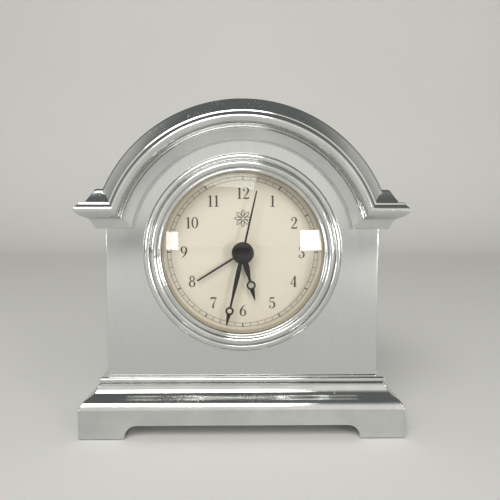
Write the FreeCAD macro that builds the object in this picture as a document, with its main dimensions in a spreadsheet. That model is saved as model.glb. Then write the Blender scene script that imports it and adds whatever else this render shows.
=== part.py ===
import FreeCAD, Part
import math
import os
import Sketcher

# Mantel alarm clock with a battery movement.
# Frame: +Z up, the dial faces -Y, the origin is under the middle of the clock on the surface it stands on.
# "p" is how far a moulding stands out from the case, "clockwise" is as seen from the front.

SIZES = {
    # case: one casting, a flat front, straight sides and an arched roof
    "case_half_width": 62.0, "case_front": -17.5, "case_back": 28.0, "case_bottom": 25.4,
    "case_wall": 3.0, "case_front_wall": 4.0, "arch_radius": 68.3, "dial_height": 82.0,
    "case_hole_radius": 40.3, "rabbet_inset": 1.7, "cover_thickness": 2.0, "cover_gap": 0.1,
    "access_hole_radius": 36.0,
    # crown moulding and plinth
    "crown_inner_radius": 50.8, "plinth_foot_gap": 0.6, "plinth_reach": 10.5, "plinth_skirt_top": 12.9,
    "foot_length": 20.2, "foot_arch_height": 6.4, "foot_curve": 5.6, "plinth_wall": 4.0,
    "plinth_shelf": 11.5, "plinth_ceiling": 21.0, "foot_block_top": 9.0,
    "pad_radius": 7.0, "pad_thickness": 1.2, "pad_inset": 10.1,
    # screws: head radius, head height, shank radius
    "screw_head_radius": 2.2, "screw_head_height": 1.0, "screw_shank_radius": 1.15, "screw_play": 0.15,
    "cover_screw_length": 11.0, "crown_screw_length": 7.5, "base_screw_length": 7.0, "boss_radius": 3.5,
    "cover_screw_across": 56.0, "cover_screw_low": -50.5, "cover_screw_arch": 44.2,
    "crown_screw_radius": 58.0, "crown_screw_spread": 35.0,
    "ear_screw_across": 55.0, "ear_screw_rise": 18.0,
    "base_screw_across": 45.0, "base_screw_front": -8.0, "base_screw_back": 18.0,
    # insert: bezel, glass, gasket, ring, dial and the can that holds them
    "bezel_radius": 45.0, "bezel_opening": 36.6, "glass_radius": 38.4, "glass_thickness": 1.2,
    "glass_edge_front": -19.5, "glass_dome": 5.0, "ring_radius": 36.8, "ring_outer": 38.6,
    "gasket_thickness": 0.6, "dial_front": -11.5, "dial_thickness": 0.5,
    "can_radius": 39.9, "can_wall": 1.0, "can_flange_radius": 43.6, "can_flange": 0.8,
    "clip_width": 6.0, "clip_thickness": 0.6, "clip_start": 34.4, "clip_end": 46.5, "clip_screw_radius": 35.9,
    "clip_leg": 1.0, "clip_top": 90.0, "clip_right": -30.0, "clip_left": 210.0,
    "small_head_radius": 1.7, "small_head_height": 1.0, "small_shank_radius": 0.85,
    # hands, lengths from the centre, angles clockwise from twelve (half past five, alarm near eight)
    "hand_thickness": 0.3, "hour_length": 23.0, "hour_ring": 15.7, "hour_angle": 166.0,
    "minute_length": 34.8, "minute_ring": 27.7, "minute_angle": 192.5,
    "alarm_length": 25.0, "alarm_angle": 237.2, "second_length": 28.9, "second_angle": 12.0,
    "hub_radius": 5.05, "hub_height": 1.2,
    "hour_boss": 3.8, "hour_ring_radius": 2.15, "hour_ring_hole": 1.3, "hour_waist": 0.95, "hour_belly": 1.5,
    "minute_boss": 3.4, "minute_ring_radius": 1.95, "minute_ring_hole": 1.05, "minute_waist": 0.75,
    "minute_belly": 1.15, "hand_tip": 0.12,
    "alarm_boss": 3.6, "alarm_root": 0.43, "alarm_tip": 0.3, "second_root": 0.43, "second_tip": 0.25,
    "second_tail": 4.0,
    "alarm_hand_back": -13.3, "hour_hand_back": -14.3, "minute_hand_back": -15.5, "second_hand_back": -17.0,
    # nested arbors and pipes, from the inside out
    "second_arbor": 0.5, "minute_bore": 0.6, "minute_arbor": 1.45, "hour_bore": 1.5, "hour_pipe": 2.05,
    "alarm_bore": 2.15, "alarm_pipe": 2.6, "tube_bore": 2.7, "tube_radius": 3.3, "tube_end": -13.0,
    "nut_across_flats": 8.6, "nut_thickness": 1.2, "hand_bore_play": 0.02,
    # movement housing
    "housing_half": 28.0, "housing_wall": 1.5, "housing_corner": 3.0, "housing_front": -10.0,
    "housing_split": -2.7, "housing_inner_back": 6.2, "housing_back": 7.4, "housing_inner_pit": 0.7,
    "partition_top": -10.6, "partition_bottom": -12.0,
    "middle_plate_front": -3.2, "middle_plate_thickness": 1.0, "middle_plate_gap": 0.2,
    "post_radius": 2.2, "post_hole": 1.0, "post_across_top": 23.3, "post_rise_top": 23.3,
    "post_across_low": 24.0, "post_rise_low": -8.0, "pivot_play": 0.08, "arbor_radius": 0.35,
    # wheel layers, given by their front faces
    "alarm_wheel_front": -8.3, "hour_wheel_front": -7.0, "minute_wheel_front": -5.5,
    "centre_wheel_front": -4.2,
    "third_wheel_front": -1.7, "second_wheel_front": -0.5, "fifth_wheel_front": 1.0, "magnet_front": 1.9,
    "wheel_thick": 1.0, "wheel_medium": 0.8, "wheel_thin": 0.5, "centre_wheel_thick": 0.6,
    # gear modules of the meshing pairs
    "module_rotor": 0.25, "module_fifth": 0.35, "module_second": 0.3, "module_third": 0.28333,
    "module_minute": 0.35, "module_hour": 0.336, "module_alarm": 0.25,
    # directions, in degrees from +X towards +Z, in which one axis lies from another
    "third_direction": 60.0, "fifth_direction": -15.0, "rotor_direction": 20.0, "minute_direction": 120.0,
    "time_set_direction": 140.0, "alarm_set_direction": 190.0,
    # stator, coil, rotor magnet
    "magnet_radius": 2.2, "stator_hole": 2.7, "stator_front": 2.0, "lamination": 0.8,
    "coil_across": 21.0, "coil_low": -2.0, "coil_high": 15.6, "coil_radius": 2.8, "winding_radius": 2.6,
    "bobbin_radius": 1.7, "bobbin_bore": 1.35, "bobbin_flange": 0.6,
    # electrics
    "battery_radius": 7.1, "battery_half_length": 24.6, "battery_drop": -19.3, "battery_depth": -1.2,
    "board_front": 4.6, "board_thickness": 0.8, "chip_height": 0.9,
    "spring_radius": 3.6, "spring_tip": 2.2,
    "buzzer_radius": 5.2, "buzzer_height": 4.4, "buzzer_port": 1.0,
    "buzzer_across": -19.5, "buzzer_rise": 4.5,
    # controls on the back
    "set_shaft": 1.2, "knob_radius": 5.4, "knob_front": 8.6, "knob_back": 13.0,
    "switch_left": 10.8, "switch_rise": 18.0, "switch_width": 2.4, "switch_plate": 0.8, "switch_grip": 1.2,
    "switch_rib": 0.4, "switch_travel": 3.0,
    "door_thickness": 1.2, "door_gap": 0.1, "door_half_width": 26.2, "door_rib": 0.6,
    "door_top": -11.6, "door_bottom": -27.6, "rail_inner": 26.4, "rail_lip": 25.2, "rail_back": 9.6,
}

doc = FreeCAD.newDocument("MantelClock")
sheet = doc.addObject("Spreadsheet::Sheet", "Sizes")
for row, (alias, amount) in enumerate(SIZES.items(), start=1):
    sheet.set(f"A{row}", alias)
    sheet.set(f"B{row}", str(amount))
    sheet.setAlias(f"B{row}", alias)
doc.recompute()


class Size:
    """A length with its number and the sheet formula that it comes from."""

    def __init__(self, number, formula):
        self.number = number
        self.formula = formula

    def __add__(self, other):
        return Size(self.number + number(other), f"({self.formula} + {formula(other)})")

    def __sub__(self, other):
        return Size(self.number - number(other), f"({self.formula} - {formula(other)})")

    def __mul__(self, other):
        return Size(self.number * number(other), f"({self.formula} * {formula(other)})")

    def __truediv__(self, other):
        return Size(self.number / number(other), f"({self.formula} / {formula(other)})")

    def __radd__(self, other):
        return Size(number(other) + self.number, f"({formula(other)} + {self.formula})")

    def __rsub__(self, other):
        return Size(number(other) - self.number, f"({formula(other)} - {self.formula})")

    def __rmul__(self, other):
        return Size(number(other) * self.number, f"({formula(other)} * {self.formula})")

    def __neg__(self):
        return Size(-self.number, f"(0 - {self.formula})")


def number(size):
    return size.number if isinstance(size, Size) else float(size)


def formula(size):
    return size.formula if isinstance(size, Size) else f"{float(size):.6f}"


def square_root(size):
    return Size(math.sqrt(size.number), f"sqrt({size.formula})")


def cosine(angle):
    return Size(math.cos(math.radians(angle.number)), f"cos({angle.formula} * 1 deg)")


def sine(angle):
    return Size(math.sin(math.radians(angle.number)), f"sin({angle.formula} * 1 deg)")


class Sheet:
    """dim.case_wall is the sheet's cell of that name, as a Size."""

    def __getattr__(self, alias):
        return Size(float(sheet.get(alias)), f"Sizes.{alias}")


dim = Sheet()
NODES = []


def node(item, name):
    """Give a finished sub-part its name."""
    item.Label = name
    NODES.append(item)
    return item


def bind(item, **sizes):
    """Bind properties to the sheet; a double underscore stands for a dot."""
    for name, size in sizes.items():
        item.setExpression(name.replace("__", "."), formula(size))
    return item


def move(item, x=0, y=0, z=0, angle=None):
    """Place an item, turned clockwise about Y by angle."""
    if angle is not None:
        item.Placement.Rotation = FreeCAD.Rotation(FreeCAD.Vector(0, 1, 0), number(angle))
        bind(item, Placement__Rotation__Angle=angle)
    return bind(item, Placement__Base__x=x, Placement__Base__y=y, Placement__Base__z=z)


# ---------------------------------------------------------------- sketches

def circle(x, y, radius):
    return ("circle", x, y, radius)


def outline(*points):
    """A closed outline. A point is (x, y), or (x, y, through_x, through_y) when an arc leads to it."""
    return ("outline", points)


def rectangle(low_x, low_y, high_x, high_y):
    return outline((low_x, low_y), (high_x, low_y), (high_x, high_y), (low_x, high_y))


def rounded_rectangle(low_x, low_y, high_x, high_y, radius):
    """A rectangle with quarter-circle corners."""
    bulge = radius * (1 - math.sqrt(0.5))
    return outline(
        (low_x + radius, low_y, low_x + bulge, low_y + bulge),
        (high_x - radius, low_y), (high_x, low_y + radius, high_x - bulge, low_y + bulge),
        (high_x, high_y - radius), (high_x - radius, high_y, high_x - bulge, high_y - bulge),
        (low_x + radius, high_y), (low_x, high_y - radius, low_x + bulge, high_y - bulge),
        (low_x, low_y + radius))


def arc_between(start, through, end):
    """An arc as the sketcher wants it, counter-clockwise, and whether that reverses the way drawn."""
    arc_centre = Part.Arc(start, through, end).toShape().Curve.Center
    radius = start.distanceToPoint(arc_centre)
    clockwise = (through - start).cross(end - through).z < 0
    first, last = (end, start) if clockwise else (start, end)
    first_angle = math.atan2(first.y - arc_centre.y, first.x - arc_centre.x)
    last_angle = math.atan2(last.y - arc_centre.y, last.x - arc_centre.x)
    if last_angle < first_angle:
        last_angle += 2 * math.pi
    arc = Part.ArcOfCircle(Part.Circle(arc_centre, FreeCAD.Vector(0, 0, 1), radius), first_angle, last_angle)
    return arc, clockwise


def pin(sketch, edge, end, x, y):
    """Hold one end of an edge at a place read from the sheet."""
    for kind, size in (("DistanceX", x), ("DistanceY", y)):
        index = sketch.addConstraint(Sketcher.Constraint(kind, -1, 1, edge, end, number(size)))
        sketch.setExpression(f"Constraints[{index}]", formula(size))


def draw_circle(sketch, x, y, radius):
    centre = FreeCAD.Vector(number(x), number(y), 0)
    edge = sketch.addGeometry(Part.Circle(centre, FreeCAD.Vector(0, 0, 1), number(radius)))
    index = sketch.addConstraint(Sketcher.Constraint("Radius", edge, number(radius)))
    sketch.setExpression(f"Constraints[{index}]", formula(radius))
    pin(sketch, edge, 3, x, y)


def draw_outline(sketch, points):
    """Draw the edges of a closed outline, join them and pin the start of each."""
    places = [FreeCAD.Vector(number(point[0]), number(point[1]), 0) for point in points]
    ends = []
    for index, point in enumerate(points):
        start, end = places[index - 1], places[index]
        reversed_arc = False
        if len(point) == 4:
            through = FreeCAD.Vector(number(point[2]), number(point[3]), 0)
            geometry, reversed_arc = arc_between(start, through, end)
        else:
            geometry = Part.LineSegment(start, end)
        edge = sketch.addGeometry(geometry)
        ends.append((edge, 2, 1) if reversed_arc else (edge, 1, 2))
    for index, (edge, _, last) in enumerate(ends):
        following, first, _ = ends[(index + 1) % len(ends)]
        sketch.addConstraint(Sketcher.Constraint("Coincident", edge, last, following, first))
        pin(sketch, edge, last, points[index][0], points[index][1])


def draw(sketch, shapes):
    for kind, *rest in shapes:
        if kind == "circle":
            draw_circle(sketch, *rest)
        else:
            draw_outline(sketch, rest[0])
    return sketch


# ---------------------------------------------------------------- bodies

def new_body(name, x=0, z=None, angle=None):
    """A body whose own Y axis is the axis of the dial, or is moved to (x, z) from it."""
    body = doc.addObject("PartDesign::Body", name)
    rise = dim.dial_height if z is None else dim.dial_height + z
    move(body, x=x, z=rise, angle=angle)
    return node(body, name)


def attach(body, plane, offset, shapes):
    """A sketch on one of the body's origin planes, shifted along the plane's normal."""
    sketch = body.newObject("Sketcher::SketchObject", "Sketch")
    sketch.AttachmentSupport = [(next(p for p in body.Origin.OriginFeatures if p.Role == plane), "")]
    sketch.MapMode = "FlatFace"
    bind(sketch, AttachmentOffset__Base__z=offset)
    return draw(sketch, shapes)


def feature(body, kind, sketch, **sizes):
    item = body.newObject(f"PartDesign::{kind}", kind)
    item.Profile = sketch
    bind(item, **sizes)
    doc.recompute([item], True)
    return item


def pad(body, back, thickness, *shapes):
    """Pad shapes drawn in X and Z forwards from the plane y = back."""
    return feature(body, "Pad", attach(body, "XZ_Plane", -back, shapes), Length=thickness)


def pocket(body, front, depth, *shapes):
    """Cut shapes drawn in X and Z backwards from the plane y = front."""
    before = body.Tip.Shape.Volume
    item = feature(body, "Pocket", attach(body, "XZ_Plane", -front, shapes), Length=depth)
    assert item.Shape.Volume < before - 1e-4, f"a pocket in {body.Label} cuts nothing"
    return item


def revolve(body, plane, *shapes):
    """Revolve shapes about the body's Y axis (XY_Plane) or Z axis (XZ_Plane)."""
    item = body.newObject("PartDesign::Revolution", "Revolution")
    item.Profile = attach(body, plane, 0, shapes)
    item.ReferenceAxis = (item.Profile[0], ["V_Axis"])
    item.Angle = 360
    doc.recompute([item], True)
    return item


def turned(name, *points, x=0, z=None):
    """A round piece about the dial's axis, from (radius, y) points."""
    body = new_body(name, x=x, z=z)
    revolve(body, "XY_Plane", outline(*points))
    return body


def disc(body, front, thickness, radius):
    """Add a plain disc or rod about the body's Y axis."""
    return pad(body, front + thickness, thickness, circle(0, 0, radius))


# ---------------------------------------------------------------- solids

def solid(kind, name, **sizes):
    return bind(doc.addObject(f"Part::{kind}", name), **sizes)


def box(low, high):
    """A box between two corners."""
    item = solid("Box", "Block", Length=high[0] - low[0], Width=high[1] - low[1], Height=high[2] - low[2])
    return move(item, *low)


def rod(x, y, z, radius, length, along="Y"):
    """A cylinder that starts at a place and runs along an axis."""
    item = solid("Cylinder", "Rod", Radius=radius, Height=length)
    turns = {"Y": ((1, 0, 0), -90), "X": ((0, 1, 0), 90), "Z": ((0, 0, 1), 0)}
    axis, angle = turns[along]
    item.Placement.Rotation = FreeCAD.Rotation(FreeCAD.Vector(*axis), angle)
    return bind(item, Placement__Base__x=x, Placement__Base__y=y, Placement__Base__z=z)


def fused(*pieces):
    item = doc.addObject("Part::MultiFuse", "Joined")
    item.Shapes = list(pieces)
    return item


def common(*pieces):
    item = doc.addObject("Part::MultiCommon", "Shared")
    item.Shapes = list(pieces)
    return item


def cut(base, *tools):
    item = doc.addObject("Part::Cut", "Trimmed")
    item.Base = base
    item.Tool = tools[0] if len(tools) == 1 else fused(*tools)
    return item


def grouped(name, pieces):
    """Separate solids that share one node."""
    item = doc.addObject("Part::Compound", name)
    item.Links = pieces
    return node(item, name)


def extruded(shapes, along, start, length):
    """Extrude shapes along X (drawn in Y and Z) or along Y (drawn in X and Z)."""
    sketch = draw(doc.addObject("Sketcher::SketchObject", "Profile"), shapes)
    if along == "X":
        sketch.Placement.Rotation = FreeCAD.Rotation(FreeCAD.Vector(1, 1, 1), 120)
        bind(sketch, Placement__Base__x=start)
        direction = FreeCAD.Vector(1, 0, 0)
    else:
        sketch.Placement.Rotation = FreeCAD.Rotation(FreeCAD.Vector(1, 0, 0), 90)
        bind(sketch, Placement__Base__y=start)
        direction = FreeCAD.Vector(0, 1, 0)
    item = doc.addObject("Part::Extrusion", "Run")
    item.Base = sketch
    item.DirMode = "Custom"
    item.Dir = direction
    item.Solid = True
    return bind(item, LengthFwd=length)


def screw(x, y, z, toward, head_radius, head_height, shank_radius, length):
    """A slotted screw: its head starts at the seat (x, y, z), its shank runs the other way."""
    axis = "Z" if toward in ("up", "down") else "Y"
    sign = -1 if toward in ("front", "down") else 1
    seat = z if axis == "Z" else y
    head_low = seat if sign < 0 else seat - head_height
    shank_low = seat - length if sign < 0 else seat
    slot_low = seat + head_height / 2 if sign < 0 else seat - head_height
    slot_half = 0.3
    if axis == "Z":
        head = rod(x, y, head_low, head_radius, head_height, "Z")
        shank = rod(x, y, shank_low, shank_radius, length, "Z")
        slot = box((x - head_radius, y - slot_half, slot_low),
                   (x + head_radius, y + slot_half, slot_low + head_height / 2))
    else:
        head = rod(x, head_low, z, head_radius, head_height)
        shank = rod(x, shank_low, z, shank_radius, length)
        slot = box((x - head_radius, slot_low, z - slot_half),
                   (x + head_radius, slot_low + head_height / 2, z + slot_half))
    return cut(fused(head, shank), slot)


# ---------------------------------------------------------------- shared places

FRONT = dim.case_front
CASE_DEPTH = dim.case_back - dim.case_front
ARCH_SPRING = square_root(dim.arch_radius * dim.arch_radius - dim.case_half_width * dim.case_half_width)
CROWN_HEIGHT = dim.arch_radius - dim.crown_inner_radius
CROWN_LOW = dim.dial_height + ARCH_SPRING - CROWN_HEIGHT

COVER_SCREWS = [(side * dim.cover_screw_across, dim.cover_screw_low) for side in (-1, 1)]
COVER_SCREWS += [(side * dim.cover_screw_arch, dim.cover_screw_arch) for side in (-1, 1)]

CROWN_SCREWS = [(0, dim.crown_screw_radius)]
CROWN_SCREWS += [(side * dim.crown_screw_radius * sine(dim.crown_screw_spread),
                  dim.crown_screw_radius * cosine(dim.crown_screw_spread)) for side in (-1, 1)]
CROWN_SCREWS += [(side * dim.ear_screw_across, dim.ear_screw_rise) for side in (-1, 1)]

BASE_SCREWS = [(side * dim.base_screw_across, depth)
               for side in (-1, 1) for depth in (dim.base_screw_front, dim.base_screw_back)]

PAD_ACROSS = dim.case_half_width + dim.plinth_reach - dim.pad_inset
PAD_PLACES = [(side * PAD_ACROSS, end) for side in (-1, 1)
              for end in (dim.case_front - dim.plinth_reach + dim.pad_inset, dim.case_back - dim.pad_inset)]

# runs and cutting tools start and end well outside the clock
CLEAR_ACROSS = 80.0
CLEAR_FRONT = 30.0


def case_outline(inset, lift=0):
    """Straight sides under an arch that is concentric with the dial; lift moves it up."""
    half = dim.case_half_width - inset
    radius = dim.arch_radius - inset
    spring = square_root(radius * radius - half * half) + lift
    bottom = dim.case_bottom - dim.dial_height + inset + lift
    return outline((-half, bottom), (half, bottom), (half, spring), (-half, spring, 0, radius + lift))


# ---------------------------------------------------------------- case, crown and plinth

def make_case():
    body = new_body("case_body")
    pad(body, dim.case_back, CASE_DEPTH, case_outline(0))
    pocket(body, FRONT + dim.case_front_wall, CASE_DEPTH - dim.case_front_wall, case_outline(dim.case_wall))
    boss_back = dim.case_back - dim.cover_thickness
    pad(body, boss_back, dim.cover_screw_length + 2,
        *[circle(x, z, dim.boss_radius) for x, z in COVER_SCREWS])
    pocket(body, boss_back, dim.cover_thickness, case_outline(dim.rabbet_inset))
    hole = dim.screw_shank_radius + dim.screw_play
    pocket(body, boss_back - dim.cover_screw_length, dim.cover_screw_length,
           *[circle(x, z, hole) for x, z in COVER_SCREWS])
    pocket(body, FRONT, dim.case_front_wall, circle(0, 0, dim.case_hole_radius),
           *[circle(x, z, hole) for x, z in CROWN_SCREWS])
    floor = attach(body, "XY_Plane", dim.case_bottom + dim.case_wall - dim.dial_height,
                   [circle(x, y, hole) for x, y in BASE_SCREWS])
    feature(body, "Pocket", floor, Length=dim.case_wall)


def crown_profile():
    """The crown's section as (p, h, ...) points: soffit, nose, fillet, cove and flat top."""
    top = CROWN_HEIGHT
    return [(3.4, 0), (4.15, 1.7), (4.65, 2.9), (5.5, 4.2), (8.4, 5.5), (9.2, 6.2),
            (9.7, 9.8, 10.5, 8.1), (9.0, 10.5), (8.8, 11.5), (6.6, 11.9),
            (3.7, 16.8, 5.0, 14.4), (3.0, top)]


def run_of(profile, low, out):
    """Turn (p, h) points into outline points, with out() giving the place across for each p."""
    points = []
    for p, height, *through in profile:
        arc = (out(through[0]), low + through[1]) if through else ()
        points.append((out(p), low + height) + arc)
    return points


def three_sided(profile, low, high):
    """A moulding across the front and down both sides of the case, with square corners."""
    front = run_of(profile, low, lambda p: FRONT - p)
    across = outline((dim.case_back, low + profile[0][1]), *front, (dim.case_back, high))
    right = run_of(profile, low, lambda p: dim.case_half_width + p)
    left = run_of(profile, low, lambda p: -dim.case_half_width - p)
    # the left side is walked from the top down, so each arc belongs to the point before it
    down = []
    for index in range(len(left) - 1, -1, -1):
        through = left[index + 1][2:] if index + 1 < len(left) else ()
        down.append(left[index][:2] + through)
    return common(extruded([across], "X", -CLEAR_ACROSS, 2 * CLEAR_ACROSS),
                  extruded([outline(*right, *down)], "Y", -CLEAR_FRONT, CLEAR_FRONT + dim.case_back))


def make_crown():
    profile = crown_profile()
    arch_points = [(dim.crown_inner_radius, FRONT)]
    for p, height, *through in profile:
        arc = (dim.crown_inner_radius + through[1], FRONT - through[0]) if through else ()
        arch_points.append((dim.crown_inner_radius + height, FRONT - p) + arc)
    arch_points.append((dim.arch_radius, FRONT))
    sketch = draw(doc.addObject("Sketcher::SketchObject", "Profile"), [outline(*arch_points)])
    bind(sketch, Placement__Base__z=dim.dial_height)
    ring = doc.addObject("Part::Revolution", "Ring")
    ring.Source = sketch
    ring.Axis = FreeCAD.Vector(0, 1, 0)
    ring.Angle = 360
    ring.Solid = True
    bind(ring, Base__z=dim.dial_height)

    # Arch and ears meet where they are equally high: radius minus height is constant, a parabola.
    focus = number(dim.dial_height)
    gap = number(dim.arch_radius - ARCH_SPRING)
    reach = math.sqrt(gap * gap + 2 * gap * CLEAR_ACROSS)
    curve = Part.Parabola(FreeCAD.Vector(0, -CLEAR_FRONT, focus),
                          FreeCAD.Vector(0, -CLEAR_FRONT, focus - gap / 2), FreeCAD.Vector(0, 1, 0))
    edge = curve.toShape(-reach, reach)
    closing = Part.LineSegment(edge.Vertexes[0].Point, edge.Vertexes[-1].Point).toShape()
    region = doc.addObject("Part::Feature", "MitreSpace")
    region.Shape = Part.Face(Part.Wire([edge, closing])).extrude(FreeCAD.Vector(0, CLEAR_ACROSS, 0))

    blank = extruded([case_outline(0, dim.dial_height)], "Y", dim.case_front, CASE_DEPTH)
    arch = common(ring, region)
    ears = cut(three_sided(profile, CROWN_LOW, CROWN_LOW + CROWN_HEIGHT), region, blank)
    holes = [rod(x, FRONT - dim.crown_screw_length + dim.case_front_wall - 0.2, dim.dial_height + z,
                 dim.screw_shank_radius + 0.05, dim.crown_screw_length - dim.case_front_wall + 0.2)
             for x, z in CROWN_SCREWS]
    node(cut(fused(arch, ears), *holes), "crown_moulding")


def plinth_profile():
    """The plinth's section as (p, z, ...) points: skirt, ogee, fillet and half-round bead."""
    skirt = dim.plinth_skirt_top
    return [(dim.plinth_reach, dim.plinth_foot_gap), (dim.plinth_reach, skirt),
            (7.1, 17.4, 9.6, 15.2), (3.5, 21.9, 4.6, 19.3), (3.5, 22.6), (1.9, 22.8),
            (1.9, dim.case_bottom, 3.2, 24.1)]


def make_plinth():
    profile = plinth_profile()
    side = dim.case_half_width

    # the space under the top, narrower above the shelf where the ogee thins the wall;
    # below the top of the foot blocks it is a cross that leaves the four feet solid
    reach = side + dim.plinth_reach - dim.plinth_wall
    front = FRONT - dim.plinth_reach + dim.plinth_wall
    back = dim.case_back - dim.plinth_wall
    front_half = side + dim.plinth_reach - dim.foot_length
    side_half = (dim.case_back - FRONT + dim.plinth_reach) / 2 - dim.foot_length
    spaces = [box((-front_half, front, -1), (front_half, back, dim.plinth_shelf)),
              box((-reach, -side_half, -1), (reach, side_half, dim.plinth_shelf)),
              box((-reach, front, dim.foot_block_top), (reach, back, dim.plinth_shelf)),
              box((-side, FRONT, dim.plinth_shelf - 1), (side, back, dim.plinth_ceiling))]

    # the arches between the feet, with a curved corner at each foot
    curve = dim.foot_curve
    bulge = curve * (1 - math.sqrt(0.5))

    def foot_arch(half, middle):
        high = dim.foot_arch_height
        return outline((middle - half, -1), (middle + half, -1), (middle + half, high - curve),
                       (middle + half - curve, high, middle + half - bulge, high - bulge),
                       (middle - half + curve, high),
                       (middle - half, high - curve, middle - half + bulge, high - bulge))

    front_arch = extruded([foot_arch(front_half, 0)], "Y", -CLEAR_FRONT, 2 * CLEAR_FRONT)
    side_arch = extruded([foot_arch(side_half, 0)], "X", -CLEAR_ACROSS, 2 * CLEAR_ACROSS)

    seats = [rod(x, y, dim.plinth_foot_gap, dim.pad_radius + 0.1,
                 dim.pad_thickness - dim.plinth_foot_gap, "Z") for x, y in PAD_PLACES]
    holes = [rod(x, y, dim.plinth_ceiling - 1, dim.screw_shank_radius + dim.screw_play,
                 dim.case_bottom - dim.plinth_ceiling + 2, "Z") for x, y in BASE_SCREWS]
    moulding = three_sided(profile, 0, dim.case_bottom)
    node(cut(moulding, *spaces, front_arch, side_arch, *seats, *holes), "base_plinth")


def make_back_cover():
    body = new_body("back_cover")
    front = dim.case_back - dim.cover_thickness
    pad(body, dim.case_back, dim.cover_thickness, case_outline(dim.rabbet_inset + dim.cover_gap))
    pocket(body, front, dim.cover_thickness, circle(0, 0, dim.access_hole_radius),
           *[circle(x, z, dim.screw_shank_radius + dim.screw_play) for x, z in COVER_SCREWS])
    pocket(body, dim.case_back - dim.screw_head_height, dim.screw_head_height,
           *[circle(x, z, dim.screw_head_radius + dim.screw_play) for x, z in COVER_SCREWS])


def make_fasteners():
    head = (dim.screw_head_radius, dim.screw_head_height, dim.screw_shank_radius)
    grouped("back_cover_screws", [
        screw(x, dim.case_back - dim.screw_head_height, dim.dial_height + z, "front", *head,
              dim.cover_screw_length) for x, z in COVER_SCREWS])
    grouped("crown_screws", [
        screw(x, FRONT + dim.case_front_wall, dim.dial_height + z, "front", *head, dim.crown_screw_length)
        for x, z in CROWN_SCREWS])
    grouped("base_screws", [
        screw(x, y, dim.plinth_ceiling, "up", *head, dim.base_screw_length) for x, y in BASE_SCREWS])
    grouped("felt_pads", [rod(x, y, 0, dim.pad_radius, dim.pad_thickness, "Z") for x, y in PAD_PLACES])


# ---------------------------------------------------------------- insert

def make_insert():
    back = FRONT
    # bezel section from the outer edge: bead, groove, large round, inner lip, glass seat, flange seat
    opening, seat = dim.bezel_opening, dim.glass_edge_front
    turned("bezel",
           (dim.bezel_radius, back), (dim.bezel_radius, back - 0.7),
           (41.7, back - 1.5, 43.3, back - 2.3), (41.2, back - 1.6),
           (38.2, back - 3.1, 39.6, back - 4.3), (37.8, back - 2.9),
           (opening, back - 2.8, 37.2, back - 3.2), (opening, seat),
           (dim.glass_radius + 0.1, seat), (dim.glass_radius + 0.1, back - dim.can_flange),
           (dim.can_flange_radius + 0.1, back - dim.can_flange), (dim.can_flange_radius + 0.1, back))

    edge_back = seat + dim.glass_thickness
    inner = dim.glass_radius - 2.0
    turned("glass",
           (dim.glass_radius, edge_back), (inner, edge_back),
           (0, edge_back - dim.glass_dome, inner / 2, edge_back - dim.glass_dome * 0.75),
           (0, seat - dim.glass_dome), (inner, seat, inner / 2, seat - dim.glass_dome * 0.75),
           (dim.glass_radius, seat))
    turned("glass_gasket",
           (dim.ring_radius, edge_back), (dim.ring_outer - 0.3, edge_back),
           (dim.ring_outer - 0.3, edge_back + dim.gasket_thickness),
           (dim.ring_radius, edge_back + dim.gasket_thickness))
    turned("dial_ring",
           (dim.ring_radius, edge_back + dim.gasket_thickness),
           (dim.ring_outer, edge_back + dim.gasket_thickness),
           (dim.ring_outer, dim.dial_front), (dim.ring_radius, dim.dial_front))

    dial = new_body("dial_plate")
    dial_back = dim.dial_front + dim.dial_thickness
    pad(dial, dial_back, dim.dial_thickness,
        circle(0, 0, dim.ring_outer), circle(0, 0, dim.tube_radius + 0.1))

    can_back = dial_back + dim.can_wall
    inside = dim.can_radius - dim.can_wall
    can = turned("insert_can",
                 (dim.tube_radius + 0.1, can_back), (dim.tube_radius + 0.1, dial_back), (inside, dial_back),
                 (inside, back - dim.can_flange), (dim.can_flange_radius, back - dim.can_flange),
                 (dim.can_flange_radius, back), (dim.can_radius, back), (dim.can_radius, can_back))
    directions = [dim.clip_top, dim.clip_right, dim.clip_left]
    pocket(can, dial_back, dim.can_wall,
           *[circle(dim.clip_screw_radius * cosine(way), dim.clip_screw_radius * sine(way),
                    dim.small_shank_radius + 0.05) for way in directions])

    # spring clips that pull the can back against the case front
    clips = []
    for way in directions:
        strip = box((-dim.clip_width / 2, can_back, dim.clip_start),
                    (dim.clip_width / 2, can_back + dim.clip_thickness, dim.clip_end))
        leg = box((-dim.clip_width / 2, FRONT + dim.case_front_wall, dim.clip_end - dim.clip_leg),
                  (dim.clip_width / 2, can_back + dim.clip_thickness, dim.clip_end))
        hole = rod(0, can_back, dim.clip_screw_radius, dim.small_shank_radius + 0.05, dim.clip_thickness)
        clips.append(move(cut(fused(strip, leg), hole), z=dim.dial_height, angle=90 - way))
    grouped("insert_clips", clips)
    grouped("insert_clip_screws", [
        screw(dim.clip_screw_radius * cosine(way), can_back + dim.clip_thickness,
              dim.dial_height + dim.clip_screw_radius * sine(way), "front",
              dim.small_head_radius, dim.small_head_height, dim.small_shank_radius,
              dim.clip_thickness + dim.can_wall - 0.05) for way in directions])

    nut = new_body("dial_nut")
    corner = dim.nut_across_flats / math.sqrt(3)
    hexagon = [(corner * math.cos(math.radians(60 * k)), corner * math.sin(math.radians(60 * k)))
               for k in range(6)]
    pad(nut, dim.dial_front, dim.nut_thickness, outline(*hexagon),
        circle(0, 0, dim.tube_radius + dim.hand_bore_play))


# ---------------------------------------------------------------- hands

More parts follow.
